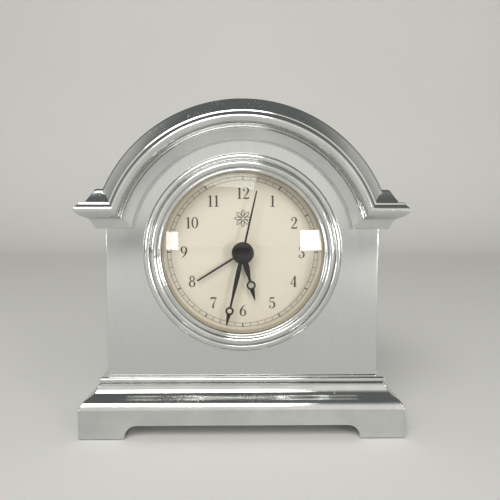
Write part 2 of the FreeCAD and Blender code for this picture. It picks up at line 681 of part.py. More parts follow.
def ring_hand(name, back, boss, bore, reach, ring_at, ring_radius, ring_hole, waist, belly, angle):
    """A blade that swells, narrows to a ring and ends in a point."""
    body = new_body(name, angle=angle)
    start = boss - 0.4
    neck = ring_at - ring_radius + 0.3
    tip_start = ring_at + ring_radius - 0.4
    tip_half = ring_radius * 0.5
    widest = start + (neck - start) * 0.4
    blade = outline((-waist, start, -belly, widest), (waist, start),
                    (waist * 0.8, neck, belly, widest), (-waist * 0.8, neck))
    pad(body, back, dim.hand_thickness, circle(0, 0, boss), circle(0, 0, bore))
    pad(body, back, dim.hand_thickness, blade)
    pad(body, back, dim.hand_thickness, circle(0, ring_at, ring_radius), circle(0, ring_at, ring_hole))
    pad(body, back, dim.hand_thickness,
        outline((-tip_half, tip_start), (tip_half, tip_start), (dim.hand_tip, reach), (-dim.hand_tip, reach)))


def needle_hand(name, back, angle, start, root, tip, reach, *boss):
    """A straight hand that tapers from start to its end."""
    body = new_body(name, angle=angle)
    if boss:
        pad(body, back, dim.hand_thickness, *boss)
    pad(body, back, dim.hand_thickness,
        outline((-root, start), (root, start), (tip, reach), (-tip, reach)))


def make_hands():
    play = dim.hand_bore_play
    ring_hand("hour_hand", dim.hour_hand_back, dim.hour_boss, dim.hour_pipe + play, dim.hour_length,
              dim.hour_ring, dim.hour_ring_radius, dim.hour_ring_hole, dim.hour_waist, dim.hour_belly,
              dim.hour_angle)
    ring_hand("minute_hand", dim.minute_hand_back, dim.minute_boss, dim.minute_arbor + play,
              dim.minute_length, dim.minute_ring, dim.minute_ring_radius, dim.minute_ring_hole,
              dim.minute_waist, dim.minute_belly, dim.minute_angle)
    needle_hand("alarm_hand", dim.alarm_hand_back, dim.alarm_angle, dim.alarm_boss - 0.3, dim.alarm_root,
                dim.alarm_tip, dim.alarm_length,
                circle(0, 0, dim.alarm_boss), circle(0, 0, dim.alarm_pipe + play))
    needle_hand("second_hand", dim.second_hand_back, dim.second_angle, -dim.second_tail, dim.second_root,
                dim.second_tip, dim.second_length)

    hub_back = dim.second_hand_back - dim.hand_thickness
    hub_front = hub_back - dim.hub_height
    turned("second_hub", (0, hub_back), (dim.hub_radius, hub_back), (dim.hub_radius, hub_back - 0.5),
           (0, hub_front, dim.hub_radius * 0.6, hub_front + 0.2))


# ---------------------------------------------------------------- wheels

def place(direction, distance):
    """Where an axis lies that is a distance away in a direction, as (x, z)."""
    return distance * cosine(direction), distance * sine(direction)


def pitch_distance(module, teeth, more_teeth):
    return module * ((teeth + more_teeth) / 2)


THIRD = place(dim.third_direction, pitch_distance(dim.module_second, 8, 60))
FIFTH = place(dim.fifth_direction, pitch_distance(dim.module_fifth, 8, 40))
ROTOR_STEP = place(dim.rotor_direction, pitch_distance(dim.module_rotor, 8, 48))
ROTOR = (FIFTH[0] + ROTOR_STEP[0], FIFTH[1] + ROTOR_STEP[1])
MINUTE = place(dim.minute_direction, pitch_distance(dim.module_minute, 12, 36))
TIME_STEP = place(dim.time_set_direction, pitch_distance(dim.module_minute, 12, 36))
TIME_SET = (MINUTE[0] + TIME_STEP[0], MINUTE[1] + TIME_STEP[1])
ALARM_SET = place(dim.alarm_set_direction, pitch_distance(dim.module_alarm, 48, 44))


def meshed_phase(direction, teeth, own_teeth, phase=0.0):
    """The phase that puts a tooth gap opposite the driving wheel's tooth, all in degrees."""
    pitch, own_pitch = 360 / teeth, 360 / own_teeth
    fraction = (number(direction) - phase) / pitch
    return number(direction) + 180 - own_pitch * (0.5 - fraction)


def toothed(body, front, thickness, module, teeth, phase=0.0, bore=None):
    """A toothed wheel: every tooth a trapezium that clears its mate's."""
    size = number(module)
    pitch_radius = size * teeth / 2
    root, tip = pitch_radius - 1.15 * size, pitch_radius + 0.8 * size
    step = 2 * math.pi / teeth
    flanks = ((root, -0.29), (tip, -0.1), (tip, 0.1), (root, 0.29))
    corners = []
    for index in range(teeth):
        middle = math.radians(phase) + index * step
        for radius, share in flanks:
            turn = middle + share * step
            corners.append(FreeCAD.Vector(radius * math.cos(turn), radius * math.sin(turn), 0))
    sketch = attach(body, "XZ_Plane", -(front + thickness), [circle(0, 0, bore)] if bore is not None else [])
    sketch.addGeometry([Part.LineSegment(corners[k - 1], corners[k]) for k in range(len(corners))])
    feature(body, "Pad", sketch, Length=thickness)


def make_wheels():
    rotor = new_body("rotor_pinion", *ROTOR)
    toothed(rotor, dim.fifth_wheel_front, dim.wheel_thin, dim.module_rotor, 8)
    arbor(rotor, dim.middle_plate_front + 0.2)
    turned("rotor_magnet",
           (dim.arbor_radius + 0.02, dim.magnet_front), (dim.magnet_radius, dim.magnet_front),
           (dim.magnet_radius, dim.magnet_front + 1), (dim.arbor_radius + 0.02, dim.magnet_front + 1),
           x=ROTOR[0], z=ROTOR[1])

    fifth = new_body("fifth_wheel", *FIFTH)
    toothed(fifth, dim.fifth_wheel_front, dim.wheel_thin, dim.module_rotor, 48,
            meshed_phase(180 + dim.rotor_direction, 8, 48))
    toothed(fifth, dim.second_wheel_front, dim.wheel_thin, dim.module_fifth, 8)
    disc(fifth, dim.second_wheel_front, dim.fifth_wheel_front - dim.second_wheel_front + 0.2, 0.9)
    arbor(fifth, dim.middle_plate_front + 0.2)

    second = new_body("second_wheel")
    toothed(second, dim.second_wheel_front, dim.wheel_thin, dim.module_fifth, 40,
            meshed_phase(180 + dim.fifth_direction, 8, 40))
    toothed(second, dim.third_wheel_front, dim.second_wheel_front - dim.third_wheel_front + 0.1,
            dim.module_second, 8)
    second_end = dim.housing_inner_back + 0.5
    disc(second, dim.second_hand_back, second_end - dim.second_hand_back, dim.second_arbor)

    third = new_body("third_wheel", *THIRD)
    toothed(third, dim.third_wheel_front, dim.wheel_thin, dim.module_second, 60,
            meshed_phase(dim.third_direction, 8, 60))
    toothed(third, dim.centre_wheel_front, dim.centre_wheel_thick, dim.module_third, 8)
    disc(third, dim.third_wheel_front - 0.4, 0.6, 1.5)
    arbor(third, dim.housing_front + 1.2)

    centre = new_body("centre_wheel")
    toothed(centre, dim.centre_wheel_front, dim.centre_wheel_thick, dim.module_third, 64,
            meshed_phase(180 + dim.third_direction, 8, 64), bore=dim.minute_arbor + 0.05)

    minute = new_body("minute_arbor")
    toothed(minute, dim.minute_wheel_front, dim.wheel_medium, dim.module_minute, 12, bore=dim.minute_bore)
    minute_front = dim.minute_hand_back - dim.hand_thickness
    minute_end = dim.middle_plate_front - 0.2
    pad(minute, minute_end, minute_end - minute_front, circle(0, 0, dim.minute_arbor),
        circle(0, 0, dim.minute_bore))

    motion = new_body("minute_wheel", *MINUTE)
    post_bore = dim.second_arbor + 0.16
    toothed(motion, dim.minute_wheel_front, dim.wheel_medium, dim.module_minute, 36,
            meshed_phase(dim.minute_direction, 12, 36), bore=post_bore)
    toothed(motion, dim.hour_wheel_front, dim.minute_wheel_front - dim.hour_wheel_front, dim.module_hour, 10,
            bore=post_bore)

    hour = new_body("hour_wheel")
    toothed(hour, dim.hour_wheel_front, dim.wheel_thick, dim.module_hour, 40,
            meshed_phase(180 + dim.minute_direction, 10, 40), bore=dim.hour_bore)
    hour_front = dim.hour_hand_back - dim.hand_thickness
    pad(hour, dim.hour_wheel_front, dim.hour_wheel_front - hour_front, circle(0, 0, dim.hour_pipe),
        circle(0, 0, dim.hour_bore))

    alarm = new_body("alarm_wheel")
    toothed(alarm, dim.alarm_wheel_front, dim.wheel_thick, dim.module_alarm, 48, bore=dim.alarm_bore)
    alarm_front = dim.alarm_hand_back - dim.hand_thickness
    pad(alarm, dim.alarm_wheel_front, dim.alarm_wheel_front - alarm_front, circle(0, 0, dim.alarm_pipe),
        circle(0, 0, dim.alarm_bore))

    time_shaft = new_body("time_set_shaft", *TIME_SET)
    own_phase = meshed_phase(dim.time_set_direction, 36, 12, meshed_phase(dim.minute_direction, 12, 36))
    toothed(time_shaft, dim.minute_wheel_front, dim.wheel_medium, dim.module_minute, 12, own_phase)
    disc(time_shaft, dim.minute_wheel_front, dim.knob_front - dim.minute_wheel_front, dim.set_shaft)

    alarm_shaft = new_body("alarm_set_shaft", *ALARM_SET)
    toothed(alarm_shaft, dim.alarm_wheel_front, dim.wheel_thick, dim.module_alarm, 44,
            meshed_phase(dim.alarm_set_direction, 48, 44))
    disc(alarm_shaft, dim.alarm_wheel_front, dim.knob_front - dim.alarm_wheel_front, dim.set_shaft)

    make_knob("time_set_knob", TIME_SET)
    make_knob("alarm_set_knob", ALARM_SET)


def arbor(body, front):
    """A thin steel arbor that ends in the rear housing's blind hole."""
    disc(body, front, dim.housing_inner_back + 0.5 - front, dim.arbor_radius)


def make_knob(name, centre, ridges=20):
    """A round thumb knob with a ridged rim and a raised face."""
    body = new_body(name, *centre)
    base = dim.knob_back - dim.knob_front - 0.8
    disc(body, dim.knob_front, base, dim.knob_radius - 0.25)
    rim = [circle((dim.knob_radius - 0.3) * math.cos(2 * math.pi * k / ridges),
                  (dim.knob_radius - 0.3) * math.sin(2 * math.pi * k / ridges), 0.3) for k in range(ridges)]
    pad(body, dim.knob_back - 0.8, base - 0.4, *rim)
    disc(body, dim.knob_back - 0.8, 0.8, dim.knob_radius - 1.2)


# ---------------------------------------------------------------- movement housing

POSTS = [(side * dim.post_across_top, dim.post_rise_top) for side in (-1, 1)]
POSTS += [(side * dim.post_across_low, dim.post_rise_low) for side in (-1, 1)]
INNER = dim.housing_half - dim.housing_wall


def housing_outline():
    half = dim.housing_half
    return rounded_rectangle(-half, -half, half, half, dim.housing_corner)


def gear_room(gap=0):
    return rounded_rectangle(-INNER + gap, dim.partition_top + gap, INNER - gap, INNER - gap,
                             dim.housing_corner - dim.housing_wall)


def battery_room():
    return rounded_rectangle(-INNER, -INNER, INNER, dim.partition_bottom,
                             dim.housing_corner - dim.housing_wall)


def make_housing():
    front = new_body("movement_front_housing")
    plate_back = dim.housing_front + dim.housing_wall
    pad(front, dim.housing_split, dim.housing_split - dim.housing_front, housing_outline())
    pocket(front, plate_back, dim.housing_split - plate_back, gear_room(), battery_room())
    pad(front, dim.housing_front, dim.housing_front - dim.tube_end, circle(0, 0, dim.tube_radius))
    post_depth = dim.middle_plate_front - plate_back
    pad(front, dim.middle_plate_front, post_depth, *[circle(x, z, dim.post_radius) for x, z in POSTS])
    pocket(front, dim.tube_end, plate_back - dim.tube_end, circle(0, 0, dim.tube_bore))
    pocket(front, plate_back, post_depth, *[circle(x, z, dim.post_hole) for x, z in POSTS])
    pad(front, dim.centre_wheel_front - 0.4, dim.centre_wheel_front - 0.4 - plate_back,
        circle(*MINUTE, dim.second_arbor + 0.1))
    pocket(front, plate_back - 0.5, 0.5, circle(*THIRD, dim.arbor_radius + dim.pivot_play))

    middle = new_body("movement_middle_plate")
    shaft_hole = dim.set_shaft + dim.pivot_play
    pivot_hole = dim.arbor_radius + dim.pivot_play
    thickness = dim.middle_plate_thickness
    pad(middle, dim.middle_plate_front + thickness, thickness, gear_room(dim.middle_plate_gap))
    pocket(middle, dim.middle_plate_front, thickness,
           *[circle(x, z, dim.post_hole) for x, z in POSTS],
           circle(0, 0, dim.second_arbor + dim.pivot_play), circle(*THIRD, pivot_hole),
           circle(*FIFTH, pivot_hole), circle(*ROTOR, pivot_hole),
           circle(*TIME_SET, shaft_hole), circle(*ALARM_SET, shaft_hole))

    rear = new_body("movement_rear_housing")
    pad(rear, dim.housing_back, dim.housing_back - dim.housing_split, housing_outline())
    room_depth = dim.housing_inner_back - dim.housing_split
    pocket(rear, dim.housing_split, room_depth, gear_room(), battery_room())
    post_front = dim.middle_plate_front + thickness
    pad(rear, dim.housing_inner_back, dim.housing_inner_back - post_front,
        *[circle(x, z, dim.post_radius) for x, z in POSTS])
    pocket(rear, post_front, dim.housing_back - post_front, *[circle(x, z, dim.post_hole) for x, z in POSTS])
    back_wall = dim.housing_back - dim.housing_inner_back
    pocket(rear, dim.housing_inner_back, back_wall,
           circle(*TIME_SET, shaft_hole), circle(*ALARM_SET, shaft_hole),
           rectangle(dim.switch_left - 0.2, dim.switch_rise - 0.95,
                     dim.switch_left + dim.switch_width + dim.switch_travel + 0.2, dim.switch_rise + 0.95),
           rectangle(-dim.rail_lip, 0.4 - INNER, dim.rail_lip, dim.partition_bottom - 0.2))
    pocket(rear, dim.housing_inner_back, dim.housing_inner_pit,
           circle(0, 0, dim.second_arbor + dim.pivot_play), circle(*THIRD, pivot_hole),
           circle(*FIFTH, pivot_hole), circle(*ROTOR, pivot_hole))
    lip_front = dim.housing_back + dim.door_gap + dim.door_thickness + 0.15
    rails = [(side * dim.rail_inner, side * dim.rail_lip, side * dim.housing_half) for side in (-1, 1)]
    pad(rear, lip_front, lip_front - dim.housing_back,
        *[rectangle(inner, dim.door_bottom, outer, dim.door_top) for inner, _, outer in rails])
    pad(rear, dim.rail_back, dim.rail_back - lip_front,
        *[rectangle(lip, dim.door_bottom, outer, dim.door_top) for _, lip, outer in rails])

    grouped("movement_screws", [
        screw(x, dim.housing_back, dim.dial_height + z, "front", dim.small_head_radius, dim.small_head_height,
              dim.small_shank_radius, dim.housing_back - plate_back - 0.5) for x, z in POSTS])


def make_controls():
    switch = new_body("alarm_switch")
    inner = dim.housing_inner_back - 0.1
    left, rise = dim.switch_left, dim.switch_rise
    middle = left + dim.switch_width / 2
    pad(switch, inner, dim.switch_plate, rectangle(middle - 3, rise - 2.2, middle + 3, rise + 2.2))
    outer = dim.housing_back + 0.2
    pad(switch, outer, outer - inner, rectangle(left, rise - 0.8, left + dim.switch_width, rise + 0.8))
    pad(switch, outer + dim.switch_grip, dim.switch_grip,
        rectangle(middle - 1.7, rise - 1.5, middle + 1.7, rise + 1.5))
    ribs = [rectangle(middle + shift - 0.2, rise - 1.5, middle + shift + 0.2, rise + 1.5)
            for shift in (-1.2, 0, 1.2)]
    pad(switch, outer + dim.switch_grip + dim.switch_rib, dim.switch_rib, *ribs)

    door = new_body("battery_door")
    door_front = dim.housing_back + dim.door_gap
    door_back = door_front + dim.door_thickness
    half = dim.door_half_width
    pad(door, door_back, dim.door_thickness, rectangle(-half, dim.door_bottom, half, dim.door_top))
    ribs = [rectangle(-6, dim.door_top - 2.4 - 1.6 * k, 6, dim.door_top - 1.6 - 1.6 * k) for k in range(4)]
    pad(door, door_back + dim.door_rib, dim.door_rib, *ribs)


# ---------------------------------------------------------------- electrics

def make_motor():
    stator = new_body("stator")
    left, right = 11.4, 17.8
    low, high, arm, end = -5.4, 19.0, 3.0, 23.6
    pad(stator, dim.stator_front + dim.lamination, dim.lamination,
        outline((left, low), (end, low), (end, low + arm), (right, low + arm),
                (right, high - arm), (end, high - arm), (end, high), (left, high)),
        circle(*ROTOR, dim.stator_hole))
    core_front = dim.stator_front + dim.lamination
    core = new_body("coil_core")
    pad(core, core_front + dim.lamination, dim.lamination,
        rectangle(dim.coil_across - 1.2, low, dim.coil_across + 1.2, high))

    middle = core_front + dim.lamination / 2
    low_in, high_in = dim.coil_low + dim.bobbin_flange, dim.coil_high - dim.bobbin_flange
    bobbin = new_body("coil_bobbin", x=dim.coil_across)
    move(bobbin, x=dim.coil_across, y=middle, z=dim.dial_height)
    revolve(bobbin, "XZ_Plane", outline(
        (dim.bobbin_bore, dim.coil_low), (dim.coil_radius, dim.coil_low), (dim.coil_radius, low_in),
        (dim.bobbin_radius, low_in), (dim.bobbin_radius, high_in), (dim.coil_radius, high_in),
        (dim.coil_radius, dim.coil_high), (dim.bobbin_bore, dim.coil_high)))
    winding = new_body("coil_winding", x=dim.coil_across)
    move(winding, x=dim.coil_across, y=middle, z=dim.dial_height)
    revolve(winding, "XZ_Plane", outline(
        (dim.bobbin_radius + 0.02, low_in), (dim.winding_radius, low_in),
        (dim.winding_radius, high_in), (dim.bobbin_radius + 0.02, high_in)))


def make_electrics():
    board = new_body("circuit_board")
    board_back = dim.board_front + dim.board_thickness
    pad(board, board_back, dim.board_thickness, rectangle(-25.5, -5.2, -3, 20.6),
        circle(*TIME_SET, 2), circle(*ALARM_SET, 2))
    pad(board, dim.board_front, dim.chip_height, circle(-19, 13.5, 2.4))
    grouped("quartz_crystal", [rod(-24, dim.board_front - 1.5, dim.dial_height + 18.2, 1.4, 6.5, "X")])

    buzzer = new_body("buzzer", dim.buzzer_across, dim.buzzer_rise)
    seat = dim.middle_plate_front + dim.middle_plate_thickness
    disc(buzzer, seat, dim.buzzer_height, dim.buzzer_radius)
    pocket(buzzer, seat + dim.buzzer_height - dim.buzzer_port, dim.buzzer_port, circle(0, 0, 1.2))

    half = dim.battery_half_length
    centre_z = dim.dial_height + dim.battery_drop
    cell = rod(-half, dim.battery_depth, centre_z, dim.battery_radius, 2 * half, "X")
    nub = rod(half, dim.battery_depth, centre_z, 2.7, 1.0, "X")
    node(fused(cell, nub), "battery")

    # spring and plate against the flat end, sprung plate against the nub
    wall = INNER - 0.3
    low_z, high_z = centre_z - 5, centre_z + 5
    low_y, high_y = dim.battery_depth - 5, dim.battery_depth + 5
    plate = box((-INNER, low_y, low_z), (-wall, high_y, high_z))
    spring = solid("Cone", "Spring", Radius1=dim.spring_radius, Radius2=dim.spring_tip, Height=wall - half)
    spring.Placement.Rotation = FreeCAD.Rotation(FreeCAD.Vector(0, 1, 0), 90)
    bind(spring, Placement__Base__x=-wall, Placement__Base__y=dim.battery_depth, Placement__Base__z=centre_z)
    node(fused(plate, spring), "minus_contact")
    plus_plate = box((wall, low_y, low_z), (INNER, high_y, high_z))
    bump = rod(half + 1.0, dim.battery_depth, centre_z, 1.8, wall - half - 1.0, "X")
    node(fused(plus_plate, bump), "plus_contact")


# ---------------------------------------------------------------- build, check and write

make_case()
make_crown()
make_plinth()
make_back_cover()
make_fasteners()
make_insert()
make_hands()
make_wheels()
make_housing()
make_controls()
make_motor()
make_electrics()
doc.recompute()

problems = [f"{item.Name} ({item.Label}): {item.State}" for item in doc.Objects
            if "Invalid" in item.State or "Error" in item.State]
for item in NODES:
    if item.Shape.isNull() or not item.Shape.isValid() or not item.Shape.Solids:
        problems.append(f"{item.Label}: no valid solid")
assert not problems, "\n".join(problems)

os.makedirs("parts", exist_ok=True)
for item in NODES:
    item.Shape.exportStep(f"parts/{item.Label}.step")
print(len(NODES), "nodes written")
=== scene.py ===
import math

import bmesh
import bpy
from mathutils import Matrix, Vector


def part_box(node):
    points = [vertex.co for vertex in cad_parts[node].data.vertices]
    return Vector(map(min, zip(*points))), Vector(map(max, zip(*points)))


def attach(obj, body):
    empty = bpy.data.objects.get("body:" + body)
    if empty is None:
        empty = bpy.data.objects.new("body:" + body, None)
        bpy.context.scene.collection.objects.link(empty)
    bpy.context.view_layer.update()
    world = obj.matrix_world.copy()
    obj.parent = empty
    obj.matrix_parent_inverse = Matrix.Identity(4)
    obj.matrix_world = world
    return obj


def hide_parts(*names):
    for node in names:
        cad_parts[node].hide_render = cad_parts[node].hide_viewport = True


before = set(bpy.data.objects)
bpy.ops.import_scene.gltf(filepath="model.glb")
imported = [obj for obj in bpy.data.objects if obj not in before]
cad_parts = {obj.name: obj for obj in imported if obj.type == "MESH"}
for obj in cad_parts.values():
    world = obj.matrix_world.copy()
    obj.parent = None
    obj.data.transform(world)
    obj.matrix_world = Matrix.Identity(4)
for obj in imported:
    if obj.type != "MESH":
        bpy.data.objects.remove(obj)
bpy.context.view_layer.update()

# Mantel alarm clock. Lengths below are millimetres until a mesh is made, which turns them into metres.
# p is how far a moulding stands out from the case, "across" is X and "up" is Z from the dial's centre.
MM = 0.001


def box_mm(node):
    """Lowest and highest corner of a CAD node, in millimetres."""
    low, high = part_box(node)
    return low / MM, high / MM


# ------------------------------------------------------------------ sizes from the frame
case_low, case_high = box_mm("case_body")
bezel_low, bezel_high = box_mm("bezel")
plinth_low, plinth_high = box_mm("base_plinth")
crown_low = box_mm("crown_moulding")[0]
dial_low = box_mm("dial_plate")[0]
glass_high = box_mm("glass")[1]
ring_low, ring_high = box_mm("dial_ring")
cover_low, cover_high = box_mm("back_cover")
screw_low, screw_high = box_mm("back_cover_screws")
SCREW_HEAD, ARCH_SCREW = 2.2, 44.2

CASE_HALF = case_high.x
CASE_FRONT, CASE_BACK = case_low.y, case_high.y
CASE_BOTTOM, CASE_TOP = case_low.z, case_high.z
DIAL_Z = (bezel_low.z + bezel_high.z) / 2
BEZEL_RADIUS = bezel_high.x
ARCH_RADIUS = CASE_TOP - DIAL_Z
ARCH_SPRING = math.sqrt(ARCH_RADIUS ** 2 - CASE_HALF ** 2)
CROWN_LOW = crown_low.z - DIAL_Z
CROWN_INNER = ARCH_RADIUS - (ARCH_SPRING - CROWN_LOW)
PLINTH_FOOT = plinth_low.z
DIAL_FRONT = dial_low.y
GLASS_RADIUS = glass_high.x


# ------------------------------------------------------------------ outlines
def arc(start, through, end, steps):
    """Points after start, up to and with end, along the circle through three points."""
    (ax, ay), (bx, by), (cx, cy) = start, through, end
    d = 2 * (ax * (by - cy) + bx * (cy - ay) + cx * (ay - by))
    a2, b2, c2 = ax * ax + ay * ay, bx * bx + by * by, cx * cx + cy * cy
    ux = (a2 * (by - cy) + b2 * (cy - ay) + c2 * (ay - by)) / d
    uy = (a2 * (cx - bx) + b2 * (ax - cx) + c2 * (bx - ax)) / d
    radius = math.hypot(ax - ux, ay - uy)
    first = math.atan2(ay - uy, ax - ux)
    last = math.atan2(cy - uy, cx - ux)
    turn = (last - first) % (2 * math.pi)
    if (bx - ax) * (cy - by) - (by - ay) * (cx - bx) < 0:
        turn -= 2 * math.pi
    angles = [first + turn * k / steps for k in range(1, steps + 1)]
    return [(ux + radius * math.cos(angle), uy + radius * math.sin(angle)) for angle in angles]


def softened(points, radius, closed=False, steps=3):
    """Rounds each real corner of a polyline with a short curve, as casting and polishing leave it."""
    result = []
    count = len(points)
    for k, (x, y) in enumerate(points):
        if not closed and k in (0, count - 1):
            result.append((x, y))
            continue
        before, here, after = Vector(points[k - 1]), Vector((x, y)), Vector(points[(k + 1) % count])
        back, ahead = before - here, after - here
        turn = math.pi - back.angle(ahead, math.pi)
        if turn < math.radians(18):
            result.append((x, y))
            continue
        cut = min(radius, 0.4 * back.length, 0.4 * ahead.length)
        first, last = here + back.normalized() * cut, here + ahead.normalized() * cut
        for step in range(steps + 1):
            t = step / steps
            spot = first * (1 - t) ** 2 + here * 2 * t * (1 - t) + last * t * t
            result.append((spot.x, spot.y))
    return result


# ------------------------------------------------------------------ meshes
def new_piece(name, vertices, faces, material, body="root", replaces=(), sharp=35.0):
    """A mesh piece in the row frame that rides on a body."""
    mesh = bpy.data.meshes.new(name)
    mesh.from_pydata([Vector(v) * MM for v in vertices], [], faces)
    bm = bmesh.new()
    bm.from_mesh(mesh)
    bmesh.ops.remove_doubles(bm, verts=bm.verts, dist=1e-6)
    bmesh.ops.recalc_face_normals(bm, faces=bm.faces)
    bm.to_mesh(mesh)
    bm.free()
    mesh.shade_smooth()
    mesh.set_sharp_from_angle(angle=math.radians(sharp))
    piece = bpy.data.objects.new(name, mesh)
    bpy.context.collection.objects.link(piece)
    mesh.materials.append(material)
    flat = piece.modifiers.new("flat_faces_stay_flat", "WEIGHTED_NORMAL")
    flat.keep_sharp = True
    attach(piece, body)
    if replaces:
        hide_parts(*replaces)
    return piece


def grid_faces(rows, columns, close_rows=False, close_columns=False):
    """Quads of a grid whose vertices are listed row by row."""
    faces = []
    for row in range(rows if close_rows else rows - 1):
        for column in range(columns if close_columns else columns - 1):
            low, high = row * columns, ((row + 1) % rows) * columns
            following = (column + 1) % columns
            faces.append((low + column, low + following, high + following, high + column))
    return faces


def lathe(name, profile, material, steps=192, replaces=(), body="root", across=0.0, up=0.0, sharp=35.0):
    """A closed (radius, y) profile turned about an axis along Y."""
    vertices = [(across + radius * math.sin(2 * math.pi * k / steps), y,
                 DIAL_Z + up + radius * math.cos(2 * math.pi * k / steps))
                for k in range(steps) for radius, y in profile]
    faces = grid_faces(steps, len(profile), close_rows=True, close_columns=True)
    return new_piece(name, vertices, faces, material, body, replaces, sharp)


def merged(parts):
    """Several (vertices, faces) as one."""
    vertices, faces = [], []
    for some_vertices, some_faces in parts:
        start = len(vertices)
        vertices += some_vertices
        faces += [tuple(start + index for index in face) for face in some_faces]
    return vertices, faces


# ------------------------------------------------------------------ materials
class Paint:
    """A node material with short ways to add noise, ramps and bump."""

    def __init__(self, name, color, metallic=0.0, roughness=0.5, **sockets):
        self.material = bpy.data.materials.new(name)
        self.material.use_nodes = True
        self.tree = self.material.node_tree
        self.shader = self.tree.nodes["Principled BSDF"]
        self.shader.inputs["Base Color"].default_value = (*color, 1)
        self.shader.inputs["Metallic"].default_value = metallic
        self.shader.inputs["Roughness"].default_value = roughness
        for socket, value in sockets.items():
            self.shader.inputs[socket.replace("_", " ")].default_value = value
        self.place = self.tree.nodes.new("ShaderNodeTexCoord").outputs["Object"]
        self.normal = None

    def node(self, kind, **values):
        item = self.tree.nodes.new(kind)
        for name, value in values.items():
            setattr(item, name, value)
        return item

    def link(self, source, target):
        self.tree.links.new(source, target)

    def stretched(self, scale, turn=(0, 0, 0)):
        """Object coordinates stretched and turned, for grain and scratches."""
        mapping = self.node("ShaderNodeMapping")
        mapping.inputs["Scale"].default_value = scale
        mapping.inputs["Rotation"].default_value = turn
        self.link(self.place, mapping.inputs["Vector"])
        return mapping.outputs["Vector"]

    def noise(self, scale, detail=4.0, roughness=0.6, vector=None, distortion=0.0):
        item = self.node("ShaderNodeTexNoise")
        item.inputs["Scale"].default_value = scale
        item.inputs["Detail"].default_value = detail
        item.inputs["Roughness"].default_value = roughness
        item.inputs["Distortion"].default_value = distortion
        self.link(vector or self.place, item.inputs["Vector"])
        return item.outputs["Fac"]

    def ramp(self, source, low, high, start=0.3, end=0.7):
        """A value or colour ramp between two stops."""
        if isinstance(low, tuple):
            item = self.node("ShaderNodeValToRGB")
            item.color_ramp.elements[0].position, item.color_ramp.elements[1].position = start, end
            item.color_ramp.elements[0].color, item.color_ramp.elements[1].color = (*low, 1), (*high, 1)
            self.link(source, item.inputs["Fac"])
            return item.outputs["Color"]
        item = self.node("ShaderNodeMapRange")
        for name, value in (("From Min", start), ("From Max", end), ("To Min", low), ("To Max", high)):
            item.inputs[name].default_value = value
        self.link(source, item.inputs["Value"])
        return item.outputs["Result"]

    def total(self, first, second, operation="ADD"):
        item = self.node("ShaderNodeMath", operation=operation)
        self.link(first, item.inputs[0])
        self.link(second, item.inputs[1])
        return item.outputs["Value"]

    def bump(self, source, strength, distance=0.0002):
        item = self.node("ShaderNodeBump")
        item.inputs["Strength"].default_value = strength
        item.inputs["Distance"].default_value = distance
        self.link(source, item.inputs["Height"])
        if self.normal:
            self.link(self.normal, item.inputs["Normal"])
        self.normal = item.outputs["Normal"]
        self.link(self.normal, self.shader.inputs["Normal"])
        return self

    def drive(self, socket, source):
        self.link(source, self.shader.inputs[socket])
        return self

    def scratches(self, turn, scale=1.0, start=0.64, end=0.68):
        """Sparse hair-fine scratches along one direction, 1 where there is one."""
        fine = self.noise(26 * scale, 2, 0.5, self.stretched((60, 60, 2.2), turn), 0.6)
        patchy = self.noise(90, 2, 0.5)
        line = self.ramp(fine, 0.0, 1.0, start, end)
        gate = self.ramp(patchy, 0.0, 1.0, 0.45, 0.6)
        return self.total(line, gate, "MULTIPLY")


def polished_metal():
    """Cast aluminium, mirror polished, with handling haze, hairline scratches and a few pits."""
    paint = Paint("polished_metal", (0.66, 0.67, 0.66), 1.0, 0.1)
    haze = paint.noise(55, 5, 0.65)
    scratched = paint.total(paint.scratches((0.3, 1.2, 0.2)), paint.scratches((1.1, 0.4, 0.9), 1.3))
    rough = paint.total(paint.ramp(haze, 0.05, 0.14), paint.ramp(scratched, 0.0, 0.22, 0.0, 1.0))
    paint.drive("Roughness", rough)
    tone = paint.noise(38, 4, 0.6)
    paint.drive("Base Color", paint.ramp(tone, (0.58, 0.595, 0.59), (0.70, 0.705, 0.695), 0.35, 0.65))
    paint.bump(paint.noise(70, 2, 0.5), 0.10, 0.0006)
    paint.bump(scratched, -0.25, 0.00003)
    pits = paint.ramp(paint.noise(1100, 1, 0.4), 0.0, 1.0, 0.70, 0.76)
    paint.bump(pits, -0.35, 0.00005)
    return paint.material


def brushed_metal():
    """The flat front: the same casting finished with fine up-and-down brushing."""
    paint = Paint("brushed_metal", (0.66, 0.67, 0.67), 1.0, 0.15)
    grain = paint.noise(30, 3, 0.6, paint.stretched((420, 90, 3.0)))
    haze = paint.noise(24, 4, 0.6)
    rough = paint.total(paint.ramp(grain, 0.09, 0.15), paint.ramp(haze, 0.0, 0.08))
    paint.drive("Roughness", rough)
    paint.drive("Base Color", paint.ramp(grain, (0.60, 0.615, 0.62), (0.70, 0.705, 0.70), 0.3, 0.7))
    paint.bump(grain, 0.22, 0.00002)
    paint.bump(paint.noise(18, 2, 0.5), 0.12, 0.0010)
    dings = paint.ramp(paint.noise(420, 1, 0.4), 0.0, 1.0, 0.72, 0.78)
    paint.bump(dings, -0.4, 0.00008)
    return paint.material


def plain_metal(name, color, roughness, scale=300.0):
    """Plated or turned metal with a light grain."""
    paint = Paint(name, color, 1.0, roughness)
    paint.drive("Roughness", paint.ramp(paint.noise(scale, 4, 0.6), roughness * 0.7, roughness * 1.4))
    darker = tuple(0.82 * part for part in color)
    paint.drive("Base Color", paint.ramp(paint.noise(scale / 3, 4, 0.6), darker, color))
    paint.bump(paint.noise(scale * 3, 3, 0.6), 0.15, 0.00004)
    return paint.material


